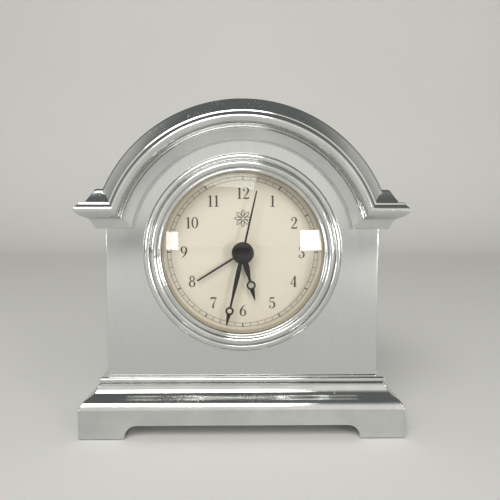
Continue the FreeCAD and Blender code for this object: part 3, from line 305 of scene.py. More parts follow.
def moulded(name, color, roughness, grain=1800.0, strength=0.25, shine=0.5):
    """Moulded plastic, rubber or paint with a fine texture."""
    paint = Paint(name, color, 0.0, roughness, Specular_IOR_Level=shine)
    paint.drive("Roughness", paint.ramp(paint.noise(160, 4, 0.6), roughness * 0.8, min(1.0, roughness * 1.2)))
    lighter = tuple(min(1.0, 1.25 * part + 0.004) for part in color)
    paint.drive("Base Color", paint.ramp(paint.noise(60, 4, 0.6), color, lighter))
    paint.bump(paint.noise(grain, 3, 0.6), strength, 0.00005)
    return paint.material


def dial_lacquer():
    """Matt cream lacquer, a little uneven with age."""
    paint = Paint("dial_lacquer", (0.65, 0.59, 0.50), 0.0, 0.55, Specular_IOR_Level=0.35)
    cloud = paint.noise(22, 5, 0.55)
    paint.drive("Base Color", paint.ramp(cloud, (0.615, 0.56, 0.465), (0.67, 0.62, 0.54), 0.3, 0.7))
    paint.drive("Roughness", paint.ramp(paint.noise(90, 3, 0.6), 0.48, 0.62))
    paint.bump(paint.noise(2600, 2, 0.5), 0.10, 0.00003)
    return paint.material


def felt():
    paint = Paint("felt", (0.018, 0.018, 0.02), 0.0, 0.95, Sheen_Weight=0.4, Sheen_Roughness=0.5)
    fibres = paint.noise(900, 4, 0.7)
    paint.drive("Base Color", paint.ramp(fibres, (0.010, 0.010, 0.012), (0.04, 0.04, 0.045)))
    paint.bump(paint.noise(2400, 4, 0.8), 0.9, 0.0002)
    return paint.material


def clear_glass():
    """Thin clear glass: light passes straight through and the surface mirrors by its angle."""
    material = bpy.data.materials.new("clear_glass")
    material.use_nodes = True
    tree = material.node_tree
    tree.nodes.remove(tree.nodes["Principled BSDF"])
    out = tree.nodes["Material Output"]
    clear = tree.nodes.new("ShaderNodeBsdfTransparent")
    clear.inputs["Color"].default_value = (0.985, 0.99, 0.985, 1)
    mirror = tree.nodes.new("ShaderNodeBsdfGlossy")
    mirror.inputs["Color"].default_value = (1, 1, 1, 1)
    smear = tree.nodes.new("ShaderNodeTexNoise")
    smear.inputs["Scale"].default_value = 45
    spread = tree.nodes.new("ShaderNodeMapRange")
    for name, value in (("From Min", 0.35), ("From Max", 0.75), ("To Min", 0.0), ("To Max", 0.05)):
        spread.inputs[name].default_value = value
    tree.links.new(smear.outputs["Fac"], spread.inputs["Value"])
    tree.links.new(spread.outputs["Result"], mirror.inputs["Roughness"])
    # Facing counts the same from inside and outside, so neither side of the glass turns into a full mirror.
    facing = tree.nodes.new("ShaderNodeLayerWeight")
    facing.inputs["Blend"].default_value = 0.5
    steep = tree.nodes.new("ShaderNodeMath")
    steep.operation = "POWER"
    steep.inputs[1].default_value = 5.0
    tree.links.new(facing.outputs["Facing"], steep.inputs[0])
    shine = tree.nodes.new("ShaderNodeMapRange")
    shine.inputs["To Min"].default_value, shine.inputs["To Max"].default_value = 0.018, 0.9
    tree.links.new(steep.outputs["Value"], shine.inputs["Value"])
    mix = tree.nodes.new("ShaderNodeMixShader")
    tree.links.new(shine.outputs["Result"], mix.inputs["Fac"])
    tree.links.new(clear.outputs["BSDF"], mix.inputs[1])
    tree.links.new(mirror.outputs["BSDF"], mix.inputs[2])
    tree.links.new(mix.outputs["Shader"], out.inputs["Surface"])
    return material


POLISHED = polished_metal()
BRUSHED = brushed_metal()
STEEL = plain_metal("zinc_steel", (0.60, 0.60, 0.59), 0.32)
BRASS = plain_metal("turned_brass", (0.78, 0.58, 0.27), 0.28)
COPPER = plain_metal("copper_wire", (0.72, 0.33, 0.16), 0.35, 900)
# The dial surround's tan is a painted reflection: the cream dial as its metal wall would mirror it, laid on
# as a flat matt colour.
DIAL_SURROUND_PAINTED_REFLECTION = moulded("dial_surround_painted_reflection", (0.40, 0.35, 0.27), 0.35, 2400, 0.08)
DIAL_CREAM = dial_lacquer()
DIAL_INK = moulded("dial_ink", (0.045, 0.038, 0.032), 0.6, 2600, 0.1)
DIAL_GREY = moulded("dial_grey_ink", (0.06, 0.056, 0.052), 0.6, 2600, 0.1)
HAND_BLACK = moulded("hand_black", (0.006, 0.005, 0.005), 0.38, 2000, 0.12, 0.22)
BLACK_PLASTIC = moulded("black_plastic", (0.022, 0.022, 0.023), 0.5, 1500, 0.5)
BACK_PAINT = moulded("back_paint", (0.030, 0.030, 0.031), 0.42, 1400, 0.6)
WHITE_PLASTIC = moulded("white_plastic", (0.80, 0.79, 0.75), 0.4)
RED_PLASTIC = moulded("red_plastic", (0.50, 0.03, 0.02), 0.35)
GREEN_BOARD = moulded("green_board", (0.03, 0.16, 0.06), 0.35)
BATTERY_PAINT = moulded("battery_paint", (0.10, 0.11, 0.13), 0.25, 900, 0.08)
BLACK_RUBBER = moulded("black_rubber", (0.02, 0.02, 0.02), 0.7, 1600, 0.4)
FELT = felt()
GLASS = clear_glass()

NODE_MATERIALS = {
    "case_body": BRUSHED, "back_cover": BACK_PAINT, "glass_gasket": BLACK_RUBBER, "dial_nut": BRASS,
    "dial_plate": DIAL_CREAM, "minute_arbor": BRASS, "buzzer": BRASS, "coil_winding": COPPER,
    "circuit_board": GREEN_BOARD, "alarm_switch": RED_PLASTIC, "battery": BATTERY_PAINT, "felt_pads": FELT,
    "movement_front_housing": BLACK_PLASTIC, "movement_rear_housing": BLACK_PLASTIC,
    "battery_door": BLACK_PLASTIC, "time_set_knob": BLACK_PLASTIC, "alarm_set_knob": BLACK_PLASTIC,
}
for name in ("back_cover_screws", "crown_screws", "base_screws", "insert_can", "insert_clips",
             "insert_clip_screws", "movement_screws", "quartz_crystal", "stator", "coil_core",
             "rotor_magnet", "plus_contact", "minus_contact"):
    NODE_MATERIALS[name] = STEEL
for name in ("movement_middle_plate", "coil_bobbin", "rotor_pinion", "fifth_wheel", "second_wheel",
             "third_wheel", "centre_wheel", "minute_wheel", "hour_wheel", "alarm_wheel",
             "time_set_shaft", "alarm_set_shaft"):
    NODE_MATERIALS[name] = WHITE_PLASTIC
for name, material in NODE_MATERIALS.items():
    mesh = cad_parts[name].data
    mesh.materials.clear()
    mesh.materials.append(material)


# ------------------------------------------------------------------ camera
CAMERA_DISTANCE = 204.1
CAMERA_ABOVE_DIAL = 14.3
CAMERA_PITCH, CAMERA_YAW, CAMERA_ROLL = 0.063, 0.016, 0.002
SENSOR = 36.0
FOCAL_PER_WIDTH = 0.9


def make_camera():
    data = bpy.data.cameras.new("camera")
    data.sensor_width = SENSOR
    data.lens = SENSOR * FOCAL_PER_WIDTH
    data.clip_start = 0.01
    camera = bpy.data.objects.new("camera", data)
    bpy.context.collection.objects.link(camera)
    place = Matrix.Translation(Vector((0, CASE_FRONT - CAMERA_DISTANCE, DIAL_Z + CAMERA_ABOVE_DIAL)) * MM)
    aim = Matrix.Rotation(-CAMERA_YAW, 4, "Z") @ Matrix.Rotation(math.pi / 2 - CAMERA_PITCH, 4, "X")
    camera.matrix_world = place @ aim @ Matrix.Rotation(CAMERA_ROLL, 4, "Z")
    bpy.context.scene.camera = camera


make_camera()


# ------------------------------------------------------------------ crown
# The crown's section as (p, height) from its bottom edge: slope, soffit, nose, fillet, cove, flat top.
CROWN_HEIGHT = ARCH_RADIUS - CROWN_INNER
crown_lower = [(3.4, 0.0), (4.15, 1.7), (4.65, 2.9), (5.5, 4.2), (8.4, 5.5), (9.2, 6.2)]
crown_nose = arc((9.2, 6.2), (10.5, 8.1), (9.7, 9.8), 10)
crown_fillet = [(9.0, 10.5), (8.8, 11.5), (6.6, 11.9)]
crown_cove = arc((6.6, 11.9), (5.0, 14.4), (3.7, 16.8), 8)
CROWN_SECTION = softened([(-0.6, 0.0)] + crown_lower + crown_nose + crown_fillet + crown_cove
                         + [(3.0, CROWN_HEIGHT), (-0.6, CROWN_HEIGHT)], 0.35)


def crown_path(p, height):
    """Where one point of the crown's section goes: side, corner, front ear, mitre, arch, and back."""
    radius = CROWN_INNER + height
    up = CROWN_LOW + height
    gap = CROWN_INNER - CROWN_LOW
    mitre = math.sqrt(gap * gap + 2 * gap * up)
    corner_round = 0.35
    places = []
    for k in range(9):
        places.append((CASE_HALF + p, CASE_BACK + (CASE_FRONT - CASE_BACK) * k / 8, up))
    for k in range(5):
        turn = math.pi / 2 * k / 4
        places.append((CASE_HALF + p - corner_round * (1 - math.cos(turn)),
                       CASE_FRONT - p + corner_round * (1 - math.sin(turn)), up))
    for k in range(1, 5):
        share = k / 4
        start = CASE_HALF + p - corner_round
        places.append((start + (mitre - start) * share, CASE_FRONT - p, up))
    half_angle = math.atan2(mitre, up)
    arch_steps = 96
    for k in range(1, arch_steps // 2 + 1):
        angle = half_angle * (1 - k / (arch_steps / 2))
        places.append((radius * math.sin(angle), CASE_FRONT - p, radius * math.cos(angle)))
    mirrored = [(-x, y, z) for x, y, z in reversed(places[:-1])]
    return [(x, y, DIAL_Z + z) for x, y, z in places + mirrored]


def make_crown():
    rows = [crown_path(p, height) for p, height in CROWN_SECTION]
    vertices = [place for row in rows for place in row]
    columns = len(rows[0])
    faces = grid_faces(len(rows), columns, close_rows=True)
    faces.append(tuple(row * columns for row in range(len(rows))))
    faces.append(tuple(row * columns + columns - 1 for row in reversed(range(len(rows)))))
    new_piece("crown_casting", vertices, faces, POLISHED,
              replaces=["crown_moulding"], sharp=30)


# ------------------------------------------------------------------ case
def arched_outline(inset):
    """The case's outline in X and Z about the dial's centre, clockwise at even angles, with its corners."""
    half, radius = CASE_HALF - inset, ARCH_RADIUS - inset
    spring = math.sqrt(radius * radius - half * half)
    bottom = DIAL_Z - CASE_BOTTOM - inset
    full, steps = 2 * math.pi, 144
    corners = [math.atan2(half, spring), math.atan2(half, -bottom)]
    angles = sorted([full * k / steps for k in range(steps)] + corners + [full - angle for angle in corners])
    points = []
    for angle in angles:
        across, up = math.sin(angle), math.cos(angle)
        on_arch = angle < corners[0] or angle > full - corners[0]
        reach = radius if on_arch else half / max(abs(across), 1e-6)
        if up < 0:
            reach = min(reach, bottom / -up)
        points.append((across * reach, up * reach))
    return points


CASE_EDGE, CASE_WALL, CASE_FRONT_WALL, CASE_HOLE = 0.4, 3.0, 4.0, 41.0
EDGE_SUPPORT = 0.7       # a row of points on the front beside the soft edge, which keeps the face flat
BOSS_RADIUS, BOSS_BORE, BOSS_DEPTH, BOSS_STEPS = 3.5, 1.3, 13.0, 24


def cover_screw_boss(across, up):
    """A tube behind the back cover for one of its screws, as vertices and faces."""
    front = cover_low.y - BOSS_DEPTH
    section = [(BOSS_BORE, cover_low.y), (BOSS_RADIUS, cover_low.y), (BOSS_RADIUS, front), (BOSS_BORE, front)]
    angles = [math.pi / (BOSS_STEPS / 2) * k for k in range(BOSS_STEPS)]
    places = [(across + radius * math.sin(angle), y, DIAL_Z + up + radius * math.cos(angle))
              for angle in angles for radius, y in section]
    return places, grid_faces(BOSS_STEPS, len(section), close_rows=True, close_columns=True)


def make_case():
    """A shell with softened edges: front plate with the round hole, walls, and an open back."""
    edge, turns = CASE_EDGE, [math.pi / 6, math.pi / 3, math.pi / 2]
    inside = CASE_FRONT + CASE_FRONT_WALL
    rabbet = CASE_HALF - cover_high.x
    section = [(edge + EDGE_SUPPORT, CASE_FRONT), (edge, CASE_FRONT)]
    section += [(edge * (1 - math.sin(a)), CASE_FRONT + edge * (1 - math.cos(a))) for a in turns]
    section += [(edge * (1 - math.cos(a)), CASE_BACK - edge * (1 - math.sin(a))) for a in [0.0] + turns]
    section += [(rabbet, CASE_BACK), (rabbet, cover_low.y), (CASE_WALL, cover_low.y), (CASE_WALL, inside)]
    rows = [arched_outline(inset) for inset, _ in section]
    vertices = [(x, y, DIAL_Z + z) for row, (_, y) in zip(rows, section) for x, z in row]
    columns = len(rows[0])
    faces = grid_faces(len(rows), columns, close_columns=True)
    # the front plate, outside and inside, in to the round hole, and the hole's wall between them
    for row, y in ((0, CASE_FRONT), (len(rows) - 1, inside)):
        start = len(vertices)
        shares = [(x, z, CASE_HOLE / math.hypot(x, z)) for x, z in rows[row]]
        vertices += [(x * share, y, DIAL_Z + z * share) for x, z, share in shares]
        faces += [(row * columns + k, row * columns + (k + 1) % columns, start + (k + 1) % columns, start + k)
                  for k in range(columns)]
    front_hole = len(rows) * columns
    faces += [(front_hole + k, front_hole + (k + 1) % columns,
               front_hole + columns + (k + 1) % columns, front_hole + columns + k) for k in range(columns)]
    low_screw = (screw_high.x - SCREW_HEAD, screw_low.z + SCREW_HEAD - DIAL_Z)
    high_screw = (ARCH_SCREW, screw_high.z - SCREW_HEAD - DIAL_Z)
    bosses = [cover_screw_boss(side * across, up)
              for side in (-1, 1) for across, up in (low_screw, high_screw)]
    vertices, faces = merged([(vertices, faces)] + bosses)
    new_piece("case_casting", vertices, faces, BRUSHED, replaces=["case_body"], sharp=30)


# ------------------------------------------------------------------ plinth
PLINTH_REACH = plinth_high.x - CASE_HALF
PLINTH_SKIRT = 12.9
plinth_lower = [(PLINTH_REACH, PLINTH_SKIRT)]
plinth_ogee = arc((PLINTH_REACH, PLINTH_SKIRT), (9.6, 15.2), (7.1, 17.4), 8)
plinth_hollow = arc((7.1, 17.4), (4.6, 19.3), (3.5, 21.9), 8)
plinth_bead = arc((1.9, 22.8), (3.2, 24.1), (1.9, 25.4), 10)
PLINTH_SECTION = softened(plinth_lower + plinth_ogee + plinth_hollow + [(3.5, 22.6), (1.9, 22.8)]
                          + plinth_bead + [(-1.0, 25.4)], 0.3)
FOOT_LENGTH, FOOT_HIGH, FOOT_CURVE, PLINTH_WALL = 20.2, 6.4, 5.6, 4.0
PLINTH_CEILING, PLINTH_SHELF, FOOT_BLOCK = 21.0, 11.5, 9.0


def rounded_corner(p, steps=4, radius=0.5):
    """The plinth's two front corners at reach p, right and left, in the order of a walk from back right."""
    right = []
    for k in range(steps + 1):
        turn = math.pi / 2 * k / steps
        right.append((CASE_HALF + p - radius * (1 - math.cos(turn)),
                      CASE_FRONT - p + radius * (1 - math.sin(turn))))
    left = [(-x, y) for x, y in reversed(right)]
    return right, left


def arch_edge(low, high, steps=6):
    """The lower edge of one side of the plinth between two corners, as (along, height), with its arch."""
    middle = (low + high) / 2
    half = abs(high - low) / 2 - FOOT_LENGTH
    side = 1 if high > low else -1
    curve = [(half - FOOT_CURVE * (1 - math.cos(math.pi / 2 * k / steps)),
              FOOT_HIGH - FOOT_CURVE * (1 - math.sin(math.pi / 2 * k / steps))) for k in range(steps + 1)]
    rising = [(middle - side * across, height) for across, height in [(half, PLINTH_FOOT)] + curve]
    falling = [(middle + side * across, height) for across, height in reversed([(half, PLINTH_FOOT)] + curve)]
    return rising + falling


def make_plinth():
    vertices, faces = [], []

    def add(places):
        start = len(vertices)
        vertices.extend(places)
        return list(range(start, start + len(places)))

    # mouldings: one row per section point, walked round three sides
    rows = []
    for p, height in PLINTH_SECTION:
        right, left = rounded_corner(p)
        path = [(CASE_HALF + p, CASE_BACK)] + right + left + [(-CASE_HALF - p, CASE_BACK)]
        rows.append(add([(x, y, height) for x, y in path]))
    for low, high in zip(rows, rows[1:]):
        faces.extend((low[k], low[k + 1], high[k + 1], high[k]) for k in range(len(low) - 1))

    # skirt: the outer face down to the feet, its arches, the wall's thickness and the inner face
    right, left = rounded_corner(PLINTH_REACH)
    back, front = CASE_BACK, CASE_FRONT - PLINTH_REACH
    reach = CASE_HALF + PLINTH_REACH
    wall = PLINTH_WALL

    def side_run(along_axis, low, high, at, inward):
        """One side's lower edge, outside and inside: x runs for front and back, y runs for the ends."""
        edge = arch_edge(low, high)

        def placed(across):
            return [(along, across, height) if along_axis == "x" else (across, along, height)
                    for along, height in edge]

        return placed(at), placed(at + inward)

    runs = {
        "right": side_run("y", back, front, reach, -wall),
        "front": side_run("x", reach, -reach, front, wall),
        "left": side_run("y", front, back, -reach, wall),
        "back": side_run("x", -reach, reach, back, -wall),
    }
    top = rows[0]
    outer = {key: add(run[0]) for key, run in runs.items()}
    inner = {key: add(run[1]) for key, run in runs.items()}
    front_right, front_left = (add([(x, y, PLINTH_FOOT) for x, y in corner]) for corner in (right, left))
    back_right, back_left = add([(reach, back, PLINTH_FOOT)])[0], add([(-reach, back, PLINTH_FOOT)])[0]
    steps = len(right)
    # top row: index 0 back right, 1..steps front right corner, then front left corner, last back left
    faces.append((top[1], top[0], back_right, *outer["right"], front_right[0]))
    faces.append((top[1 + steps], top[steps], front_right[-1], *outer["front"], front_left[0]))
    faces.append((top[-1], top[-2], front_left[-1], *outer["left"], back_left))
    for k in range(steps - 1):
        faces.append((top[1 + k], front_right[k], front_right[k + 1], top[2 + k]))
        faces.append((top[1 + steps + k], front_left[k], front_left[k + 1], top[2 + steps + k]))
    # back face: a flat with the moulding's outline at both ends
    faces.append((*[row[-1] for row in reversed(rows)], back_left, *outer["back"], back_right,
                  *[row[0] for row in rows]))
    # arch soffits through the wall
    for key in runs:
        out, into = outer[key], inner[key]
        faces.extend((out[k], out[k + 1], into[k + 1], into[k]) for k in range(len(out) - 1))
    # inner faces above each arch, up to the foot blocks' tops
    half_x, half_y = reach - FOOT_LENGTH, (back - front) / 2 - FOOT_LENGTH
    middle_y = (back + front) / 2
    for key in runs:
        into = inner[key]
        ends = [vertices[into[0]], vertices[into[-1]]]
        raised = add([(x, y, FOOT_BLOCK) for x, y, _ in ends])
        faces.append((*into, raised[1], raised[0]))
    # foot blocks: inner sides, tops and bottoms
    for sx in (-1, 1):
        for sy in (-1, 1):
            x_out, y_out = sx * (reach - wall), middle_y + sy * ((back - front) / 2 - wall)
            x_in, y_in = sx * half_x, middle_y + sy * half_y
            x_edge, y_edge = sx * reach, middle_y + sy * (back - front) / 2
            block = add([(x_in, y_out, PLINTH_FOOT), (x_in, y_in, PLINTH_FOOT), (x_out, y_in, PLINTH_FOOT),
                         (x_in, y_out, FOOT_BLOCK), (x_in, y_in, FOOT_BLOCK), (x_out, y_in, FOOT_BLOCK),
                         (x_out, y_out, FOOT_BLOCK)])
            faces.append((block[0], block[1], block[4], block[3]))
            faces.append((block[1], block[2], block[5], block[4]))
            faces.append((block[3], block[4], block[5], block[6]))
            if sy < 0:
                corner = [(x, y, PLINTH_FOOT) for x, y in (right if sx > 0 else reversed(left))]
            else:
                corner = [(x_edge, y_edge, PLINTH_FOOT)]
            bottom = add([(x_edge, y_in, PLINTH_FOOT), *corner, (x_in, y_edge, PLINTH_FOOT),
                          (x_in, y_in, PLINTH_FOOT)])
            faces.append(tuple(bottom))
    # cavity above the blocks: outer walls, shelf, upper walls and ceiling
    side = CASE_HALF
    low_ring = [(reach - wall, back - wall), (reach - wall, front + wall),
                (-reach + wall, front + wall), (-reach + wall, back - wall)]
    high_ring = [(side, back - wall), (side, CASE_FRONT), (-side, CASE_FRONT), (-side, back - wall)]
    heights = ((low_ring, FOOT_BLOCK), (low_ring, PLINTH_SHELF), (high_ring, PLINTH_SHELF),
               (high_ring, PLINTH_CEILING))
    levels = [add([(x, y, height) for x, y in ring]) for ring, height in heights]
    for low, high in zip(levels, levels[1:]):
        faces.extend((low[k], low[(k + 1) % 4], high[(k + 1) % 4], high[k]) for k in range(4))
    faces.append(tuple(levels[-1]))
    faces.append((rows[-1][0], rows[-1][len(right)], rows[-1][len(right) + 1], rows[-1][-1]))
    new_piece("plinth_casting", vertices, faces, POLISHED,
              replaces=["base_plinth"], sharp=30)


# ------------------------------------------------------------------ insert
def make_insert():
    base = bezel_high.y
    section = [(BEZEL_RADIUS, base), (BEZEL_RADIUS, base - 0.7)]
    section += arc((BEZEL_RADIUS, base - 0.7), (43.3, base - 2.3), (41.7, base - 1.5), 10)
    section += [(41.2, base - 1.6)]
    section += arc((41.2, base - 1.6), (39.6, base - 4.3), (38.2, base - 3.1), 16)
    section += [(37.8, base - 2.9)]
    section += arc((37.8, base - 2.9), (37.2, base - 3.2), (36.6, base - 2.8), 4)
    section += [(36.6, base - 2.0), (38.5, base - 2.0), (38.5, base - 0.8),
                (43.7, base - 0.8), (43.7, base)]
    lathe("bezel_ring", softened(section, 0.15, closed=True), POLISHED, 256, ["bezel"])

    edge, dome, thick = base - 2.0, 5.0, 1.2
    inner = GLASS_RADIUS - 2.0
    sphere = (inner * inner + dome * dome) / (2 * dome)
    outer_curve = [(inner * k / 16, edge - (math.sqrt(sphere ** 2 - (inner * k / 16) ** 2) - (sphere - dome)))
                   for k in range(17)]
    glass_profile = outer_curve + [(GLASS_RADIUS - 0.2, edge), (GLASS_RADIUS, edge + 0.2),
                                   (GLASS_RADIUS, edge + thick)]
    glass_profile += [(radius, y + thick) for radius, y in reversed(outer_curve)]
    lathe("domed_glass", glass_profile, GLASS, 160, ["glass"], sharp=10.0)

    ring_inner = 36.8
    profile = [(ring_inner + 0.1, ring_low.y), (ring_high.x, ring_low.y), (ring_high.x, ring_high.y),
               (ring_inner, ring_high.y)]
    # The surround's wall carries the painted reflection of the cream dial as its colour.
    lathe("dial_surround", softened(profile, 0.1, closed=True), DIAL_SURROUND_PAINTED_REFLECTION, 192, ["dial_ring"])


# ------------------------------------------------------------------ dial print
PRINT_WEIGHT = 1.25


def ribbon(points, closed=False, samples=7):
    """A brush stroke: a smooth line through (x, y, width) points, as a flat outline of quads."""
    count = len(points)
    points = [(x, y, width * PRINT_WEIGHT) for x, y, width in points]
    line = []
    spans = count if closed else count - 1
    for k in range(spans):
        p0 = points[(k - 1) % count] if closed or k > 0 else points[0]
        p1, p2 = points[k], points[(k + 1) % count]
        p3 = points[(k + 2) % count] if closed or k + 2 < count else points[-1]
        for step in range(samples):
            t = step / samples
            line.append(tuple(0.5 * (2 * p1[i] + (p2[i] - p0[i]) * t
                                     + (2 * p0[i] - 5 * p1[i] + 4 * p2[i] - p3[i]) * t * t
                                     + (3 * p1[i] - p0[i] - 3 * p2[i] + p3[i]) * t ** 3) for i in range(3)))
    if not closed:
        line.append(points[-1])
    left, right = [], []
    for k, (x, y, width) in enumerate(line):
        before = line[k - 1] if closed or k > 0 else line[0]
        after = line[(k + 1) % len(line)] if closed or k + 1 < len(line) else line[-1]
        along = Vector((after[0] - before[0], after[1] - before[1])).normalized()
        left.append((x - along.y * width / 2, y + along.x * width / 2))
        right.append((x + along.y * width / 2, y - along.x * width / 2))
    size = len(line)
    quads = size if closed else size - 1
    faces = [(k, (k + 1) % size, (k + 1) % size + size, k + size) for k in range(quads)]
    return left + right, faces


def dot(x, y, radius, steps=14):
    points = [(x + radius * math.cos(2 * math.pi * k / steps), y + radius * math.sin(2 * math.pi * k / steps))
              for k in range(steps)]
    return points, [tuple(range(steps))]


def oval(x, y, across, up, thin, thick, steps=20):
    """A closed loop that is thick at its sides and thin above and below."""
    points = []
    for k in range(steps):
        angle = 2 * math.pi * k / steps
        points.append((x + across * math.cos(angle), y + up * math.sin(angle),
                       thin + (thick - thin) * abs(math.cos(angle)) ** 1.6))
    return ribbon(points, closed=True, samples=3)


def flipped(shapes, across, up):
    return [([(across - x, up - y) for x, y in points], faces) for points, faces in shapes]


SIX = [ribbon([(0.50, 0.98, 0.03), (0.33, 0.86, 0.07), (0.17, 0.66, 0.11), (0.09, 0.42, 0.13),
               (0.11, 0.18, 0.12), (0.22, 0.03, 0.06), (0.33, 0.01, 0.05), (0.46, 0.10, 0.09),
               (0.51, 0.28, 0.13), (0.46, 0.48, 0.09), (0.33, 0.57, 0.05), (0.20, 0.51, 0.04),
               (0.11, 0.38, 0.04)])]
DIGITS = {
    "0": [oval(0.29, 0.5, 0.225, 0.475, 0.05, 0.125)],
    "1": [ribbon([(0.26, 0.0, 0.13), (0.26, 0.97, 0.13)], samples=1),
          ribbon([(0.06, 0.86, 0.02), (0.16, 0.89, 0.05), (0.27, 0.985, 0.05)]),
          ribbon([(0.06, 0.02, 0.04), (0.46, 0.02, 0.04)], samples=1)],
    "2": [dot(0.12, 0.74, 0.075), ribbon([(0.055, 0.74, 0.03), (0.10, 0.90, 0.05), (0.26, 0.98, 0.05),
                                          (0.43, 0.90, 0.10), (0.48, 0.72, 0.13), (0.38, 0.48, 0.09),
                                          (0.18, 0.22, 0.05), (0.05, 0.04, 0.04)]),
          ribbon([(0.04, 0.05, 0.08), (0.30, 0.055, 0.11), (0.50, 0.05, 0.10), (0.545, 0.19, 0.03)])],
    "3": [dot(0.12, 0.78, 0.07), ribbon([(0.065, 0.79, 0.03), (0.12, 0.93, 0.05), (0.26, 0.98, 0.05),
                                         (0.42, 0.88, 0.11), (0.43, 0.68, 0.11), (0.32, 0.56, 0.05),
                                         (0.20, 0.53, 0.04)]),
          ribbon([(0.20, 0.53, 0.04), (0.36, 0.51, 0.06), (0.48, 0.38, 0.12), (0.48, 0.17, 0.13),
                  (0.36, 0.03, 0.06), (0.22, 0.01, 0.05), (0.08, 0.08, 0.05), (0.055, 0.19, 0.03)]),
          dot(0.12, 0.20, 0.075)],
    "4": [ribbon([(0.43, 0.99, 0.05), (0.02, 0.28, 0.05)], samples=1),
          ribbon([(0.01, 0.27, 0.055), (0.58, 0.27, 0.055)], samples=1),
          ribbon([(0.41, 0.0, 0.125), (0.41, 0.97, 0.125)], samples=1),
          ribbon([(0.24, 0.02, 0.04), (0.57, 0.02, 0.04)], samples=1)],
    "5": [ribbon([(0.12, 0.93, 0.09), (0.34, 0.92, 0.11), (0.50, 0.97, 0.05)]),
          ribbon([(0.12, 0.95, 0.045), (0.10, 0.50, 0.045)], samples=1),
          ribbon([(0.10, 0.50, 0.03), (0.22, 0.59, 0.05), (0.38, 0.56, 0.09), (0.50, 0.38, 0.13),
                  (0.47, 0.15, 0.12), (0.34, 0.02, 0.06), (0.20, 0.01, 0.05), (0.07, 0.09, 0.05),
                  (0.05, 0.18, 0.03)]), dot(0.115, 0.19, 0.072)],
    "6": SIX,
    "7": [ribbon([(0.04, 0.92, 0.12), (0.30, 0.92, 0.12), (0.53, 0.93, 0.10)], samples=3),
          ribbon([(0.04, 0.95, 0.03), (0.02, 0.74, 0.03)], samples=1),
          ribbon([(0.52, 0.90, 0.04), (0.36, 0.58, 0.06), (0.25, 0.28, 0.11), (0.23, 0.0, 0.14)])],
    "8": [oval(0.29, 0.76, 0.17, 0.215, 0.05, 0.10), oval(0.29, 0.27, 0.215, 0.25, 0.05, 0.125)],
    "9": flipped(SIX, 0.58, 1.0),
}
DIGIT_ADVANCE = {"1": 0.54}
NUMERAL_HEIGHT, NUMERAL_RADIUS = 5.3, 27.5
TRACK_OUTER, TRACK_INNER = 35.2, 33.5
INK_PROUD = 0.03


def printed(name, shapes, material, layer=1):
    """Flat shapes printed on the dial, a hair in front of it."""
    vertices, faces = merged([([(x, DIAL_FRONT - INK_PROUD * layer, DIAL_Z + z) for x, z in points], some)
                              for points, some in shapes])
    return new_piece(name, vertices, faces, material)


def numeral(text, x, y):
    """A number centred on (x, y)."""
    advances = [DIGIT_ADVANCE.get(digit, 0.62) for digit in text]
    width = sum(advances) - 0.06
    left = x - width * NUMERAL_HEIGHT / 2
    shapes = []
    for digit, advance in zip(text, advances):
        for points, faces in DIGITS[digit]:
            placed = [(left + px * NUMERAL_HEIGHT, y + (py - 0.5) * NUMERAL_HEIGHT) for px, py in points]
            shapes.append((placed, faces))
        left += advance * NUMERAL_HEIGHT
    return shapes


def band(inner, outer, steps=240):
    points = []
    for radius in (inner, outer):
        points += [(radius * math.sin(2 * math.pi * k / steps), radius * math.cos(2 * math.pi * k / steps))
                   for k in range(steps)]
    return points, [(k, (k + 1) % steps, (k + 1) % steps + steps, k + steps) for k in range(steps)]


def tick(index, inner, outer, width):
    angle = 2 * math.pi * index / 60
    across, along = (math.cos(angle), -math.sin(angle)), (math.sin(angle), math.cos(angle))
    half = width / 2
    corners = [(along[0] * radius + across[0] * side, along[1] * radius + across[1] * side)
               for radius, side in ((inner, -half), (outer, -half), (outer, half), (inner, half))]
    return corners, [(0, 1, 2, 3)]


def rosette(x, y, size):
    """A plain eight-petalled flower in outline."""
    shapes = [oval(x, y, size * 0.16, size * 0.16, 0.16, 0.16)]
    for k in range(8):
        angle = math.pi / 4 * k
        cos, sin = math.cos(angle), math.sin(angle)
        petal = [(0.24, 0.0, 0.20), (0.42, 0.15, 0.28), (0.72, 0.13, 0.28), (0.98, 0.0, 0.20),
                 (0.72, -0.13, 0.28), (0.42, -0.15, 0.28)]
        placed = [(x + size * (a * sin + b * cos), y + size * (a * cos - b * sin), width)
                  for a, b, width in petal]
        shapes.append(ribbon(placed, closed=True, samples=4))
        tip = 0.62
        shapes.append(dot(x + size * tip * math.sin(angle + math.pi / 8) * 1.35,
                          y + size * tip * math.cos(angle + math.pi / 8) * 1.35, 0.17, 10))
    return shapes


def make_dial_print():
    shapes = []
    for hour in range(1, 13):
        angle = math.pi / 6 * hour
        shapes += numeral(str(hour), NUMERAL_RADIUS * math.sin(angle), NUMERAL_RADIUS * math.cos(angle))
    printed("dial_numerals", shapes, DIAL_INK)
    lines = [band(TRACK_OUTER - 0.09, TRACK_OUTER + 0.09), band(TRACK_INNER - 0.09, TRACK_INNER + 0.09)]
    for index in range(60):
        bold = index % 5 == 0
        lines.append(tick(index, TRACK_INNER, TRACK_OUTER + (0.2 if bold else 0), 0.5 if bold else 0.22))
    printed("dial_minute_track", lines, DIAL_INK, 2)
    printed("dial_rosette", rosette(0, 15.8, 4.1), DIAL_GREY)


# ------------------------------------------------------------------ hands
HAND_THICK = 0.3
HAND_STEP = 0.01         # how much thinner a blade is than its boss and ring, on each side


def ring_outline(up, radius, hole, steps=40):
    """A flat ring centred above the hand's axis, as points and quads."""
    angles = [2 * math.pi * k / steps for k in range(steps)]
    points = [(size * math.sin(angle), up + size * math.cos(angle))
              for size in (radius, hole) for angle in angles]
    return points, [(k, (k + 1) % steps, (k + 1) % steps + steps, k + steps) for k in range(steps)]


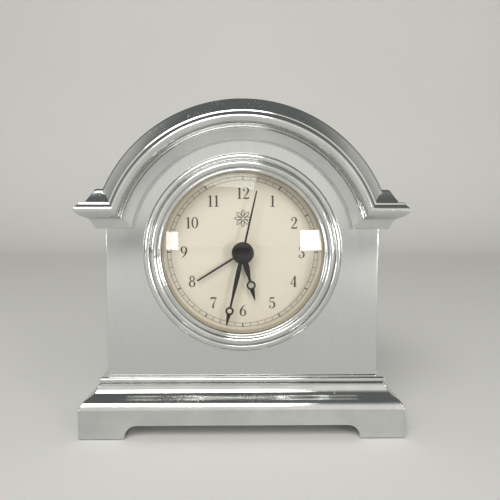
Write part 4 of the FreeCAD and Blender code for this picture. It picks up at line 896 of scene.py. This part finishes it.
def thick_plate(points, faces, front, thickness, angle):
    """A flat set of faces given a thickness and turned clockwise about the dial's centre."""
    cos, sin = math.cos(angle), math.sin(angle)
    vertices = []
    for y in (front, front + thickness):
        vertices += [(x * cos + z * sin, y, DIAL_Z - x * sin + z * cos) for x, z in points]
    count = len(points)
    result = [tuple(face) for face in faces]
    result += [tuple(index + count for index in reversed(face)) for face in faces]
    uses = {}
    for face in faces:
        for a, b in zip(face, face[1:] + face[:1]):
            uses.setdefault(tuple(sorted((a, b))), []).append((a, b))
    rims = [edge[0] for edge in uses.values() if len(edge) == 1]
    result += [(a, b, b + count, a + count) for a, b in rims]
    return vertices, result


def add_edge_softening(piece, width):
    bevel = piece.modifiers.new("soft_edges", "BEVEL")
    bevel.width = width * MM
    bevel.segments = 2
    bevel.limit_method = "ANGLE"
    bevel.angle_limit = math.radians(40)


def hand_angle(node):
    """How far clockwise from twelve a hand points at rest, from where its mesh lies."""
    places = [Vector((v.co.x / MM, v.co.z / MM - DIAL_Z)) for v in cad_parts[node].data.vertices]
    tip = max(places, key=lambda place: place.length)
    return math.atan2(tip.x, tip.y), tip.length


def ring_hand(name, node, body, boss, ring_at, ring_radius, ring_hole, waist, belly):
    """A swelling blade, a ring near the end and a drawn-out point."""
    angle, reach = hand_angle(node)
    front = box_mm(node)[0].y
    start = boss - 0.4
    neck = ring_at - ring_radius + 0.25
    blade_steps = 14
    right = []
    for k in range(blade_steps + 1):
        t = k / blade_steps
        swell = math.sin(math.pi * min(1.0, t / 0.8) ** 0.8) if t < 0.8 else 0.0
        right.append((waist * (1 - 0.35 * t) + (belly - waist) * swell, start + (neck - start) * t))
    blade_points = right + [(-x, y) for x, y in right]
    size = len(right)
    blade_faces = [(k, k + 1, k + 1 + size, k + size) for k in range(size - 1)]
    tip_start = ring_at + ring_radius * 0.86
    tip_half = ring_radius * 0.52
    tip_points = []
    steps = 8
    for k in range(steps + 1):
        t = k / steps
        half = tip_half * (1 - t) ** 0.85 + 0.1 * t
        along = tip_start + (reach - tip_start) * t
        tip_points += [(half, along), (-half, along)]
    tip_faces = [(2 * k, 2 * k + 1, 2 * k + 3, 2 * k + 2) for k in range(steps)]
    parts = [
        thick_plate(*ring_outline(0, boss, boss * 0.55), front, HAND_THICK, angle),
        thick_plate(blade_points, blade_faces, front + HAND_STEP, HAND_THICK - 2 * HAND_STEP, angle),
        thick_plate(*ring_outline(ring_at, ring_radius, ring_hole), front, HAND_THICK, angle),
        thick_plate(tip_points, tip_faces, front + HAND_STEP, HAND_THICK - 2 * HAND_STEP, angle),
    ]
    vertices, faces = merged(parts)
    piece = new_piece(name, vertices, faces, HAND_BLACK, body, [node])
    add_edge_softening(piece, 0.07)


def needle_hand(name, node, body, boss, back_reach, width, tip_width):
    angle, reach = hand_angle(node)
    front = box_mm(node)[0].y
    points = [(-width / 2, -back_reach), (width / 2, -back_reach), (width / 2, boss), (tip_width / 2, reach),
              (-tip_width / 2, reach), (-width / 2, boss)]
    parts = [thick_plate(points, [tuple(range(6))], front, HAND_THICK, angle),
             thick_plate(*ring_outline(0, boss, boss * 0.72), front + HAND_STEP,
                         HAND_THICK - 2 * HAND_STEP, angle)]
    vertices, faces = merged(parts)
    piece = new_piece(name, vertices, faces, HAND_BLACK, body, [node])
    add_edge_softening(piece, 0.06)


def make_hands():
    ring_hand("hour_hand_blade", "hour_hand", "hour", boss=3.8, ring_at=15.7, ring_radius=2.15, ring_hole=1.3,
              waist=0.95, belly=1.5)
    ring_hand("minute_hand_blade", "minute_hand", "minute", boss=3.4, ring_at=27.7, ring_radius=1.95,
              ring_hole=1.05, waist=0.75, belly=1.15)
    needle_hand("alarm_needle", "alarm_hand", "alarm", boss=3.6, back_reach=0.0, width=1.0, tip_width=0.75)
    needle_hand("second_needle", "second_hand", "second", boss=1.2, back_reach=4.0, width=1.0, tip_width=0.65)
    low, high = box_mm("second_hub")
    radius = high.x
    dome = [(0.0, low.y)] + [(radius * math.sin(math.pi / 2 * k / 8) * 0.93,
                              low.y + 0.55 * (1 - math.cos(math.pi / 2 * k / 8))) for k in range(1, 9)]
    profile = dome + [(radius, low.y + 0.75), (radius, high.y), (0.0, high.y)]
    lathe("hub_cap", softened(profile, 0.12), HAND_BLACK, 96, ["second_hub"], "second")


# ------------------------------------------------------------------ light and floor
def softbox(name, place, aim, width, height, power, color=(1, 1, 1)):
    data = bpy.data.lights.new(name, "AREA")
    data.shape = "RECTANGLE"
    data.size, data.size_y = width, height
    data.energy = power
    data.color = color
    lamp = bpy.data.objects.new(name, data)
    bpy.context.collection.objects.link(lamp)
    lamp.location = place
    lamp.rotation_euler = (Vector(aim) - Vector(place)).to_track_quat("-Z", "Y").to_euler()
    return lamp


def make_floor():
    """A pale sweep: a floor that curves up into a backdrop far behind the clock."""
    depth, rise, bend, half = 1.6, 1.6, 0.5, 8.0
    line = [(-8.0, 0.0), (depth - bend, 0.0)]
    turns = [math.pi / 2 * k / 10 for k in range(1, 11)]
    line += [(depth - bend + bend * math.sin(turn), bend * (1 - math.cos(turn))) for turn in turns]
    line += [(depth, rise)]
    vertices = [(x, y, z) for y, z in line for x in (-half, half)]
    faces = [(2 * k, 2 * k + 1, 2 * k + 3, 2 * k + 2) for k in range(len(line) - 1)]
    mesh = bpy.data.meshes.new("floor")
    mesh.from_pydata(vertices, [], faces)
    mesh.shade_smooth()
    floor = bpy.data.objects.new("floor", mesh)
    bpy.context.collection.objects.link(floor)
    paper = Paint("floor_paper", (0.78, 0.775, 0.76), 0.0, 0.85, Specular_IOR_Level=0.2)
    paper.drive("Base Color", paper.ramp(paper.noise(2.0, 2), (0.77, 0.765, 0.75), (0.79, 0.785, 0.77)))
    mesh.materials.append(paper.material)


def light_tent(tree):
    """One soft gradient all round, the same for every ray: bright in front, dimmer overhead and behind."""
    nodes, links = tree.nodes, tree.links

    def soft_step(value, start, end):
        item = nodes.new("ShaderNodeMapRange")
        item.interpolation_type = "SMOOTHSTEP"
        item.inputs["From Min"].default_value, item.inputs["From Max"].default_value = start, end
        links.new(value, item.inputs["Value"])
        return item.outputs["Result"]

    def blend(mask, first, second):
        item = nodes.new("ShaderNodeMix")
        item.data_type = "RGBA"
        links.new(mask, item.inputs["Factor"])
        for socket, value in ((item.inputs["A"], first), (item.inputs["B"], second)):
            if isinstance(value, tuple):
                socket.default_value = (*value, 1)
            else:
                links.new(value, socket)
        return item.outputs["Result"]

    split = nodes.new("ShaderNodeSeparateXYZ")
    links.new(nodes.new("ShaderNodeTexCoord").outputs["Generated"], split.inputs["Vector"])
    front, behind, overhead = (1.0, 0.98, 0.92), (0.22, 0.225, 0.23), (0.16, 0.17, 0.165)
    color = blend(soft_step(split.outputs["Y"], -0.85, 0.35), front, behind)
    return blend(soft_step(split.outputs["Z"], 0.55, 0.9), color, overhead)


def make_light():
    world = bpy.data.worlds.new("studio")
    bpy.context.scene.world = world
    world.use_nodes = True
    tree = world.node_tree
    tree.nodes["Background"].inputs["Strength"].default_value = 0.9
    tree.links.new(light_tent(tree), tree.nodes["Background"].inputs["Color"])
    centre = (0, 0, DIAL_Z * MM)
    softbox("key", (0.74, -1.05, 0.14), centre, width=0.24, height=0.22, power=4.2, color=(1.0, 0.98, 0.96))
    softbox("rim", (-0.74, -1.0, 0.13), centre, width=0.13, height=0.19, power=1.3)
    softbox("fill", (-0.25, -0.95, 1.0), centre, width=0.9, height=0.6, power=9.0, color=(1.0, 0.99, 0.97))
    bpy.context.scene.view_settings.view_transform = "Standard"


# ------------------------------------------------------------------ build
make_crown()
make_case()
make_plinth()
make_insert()
make_dial_print()
make_hands()
make_floor()
make_light()
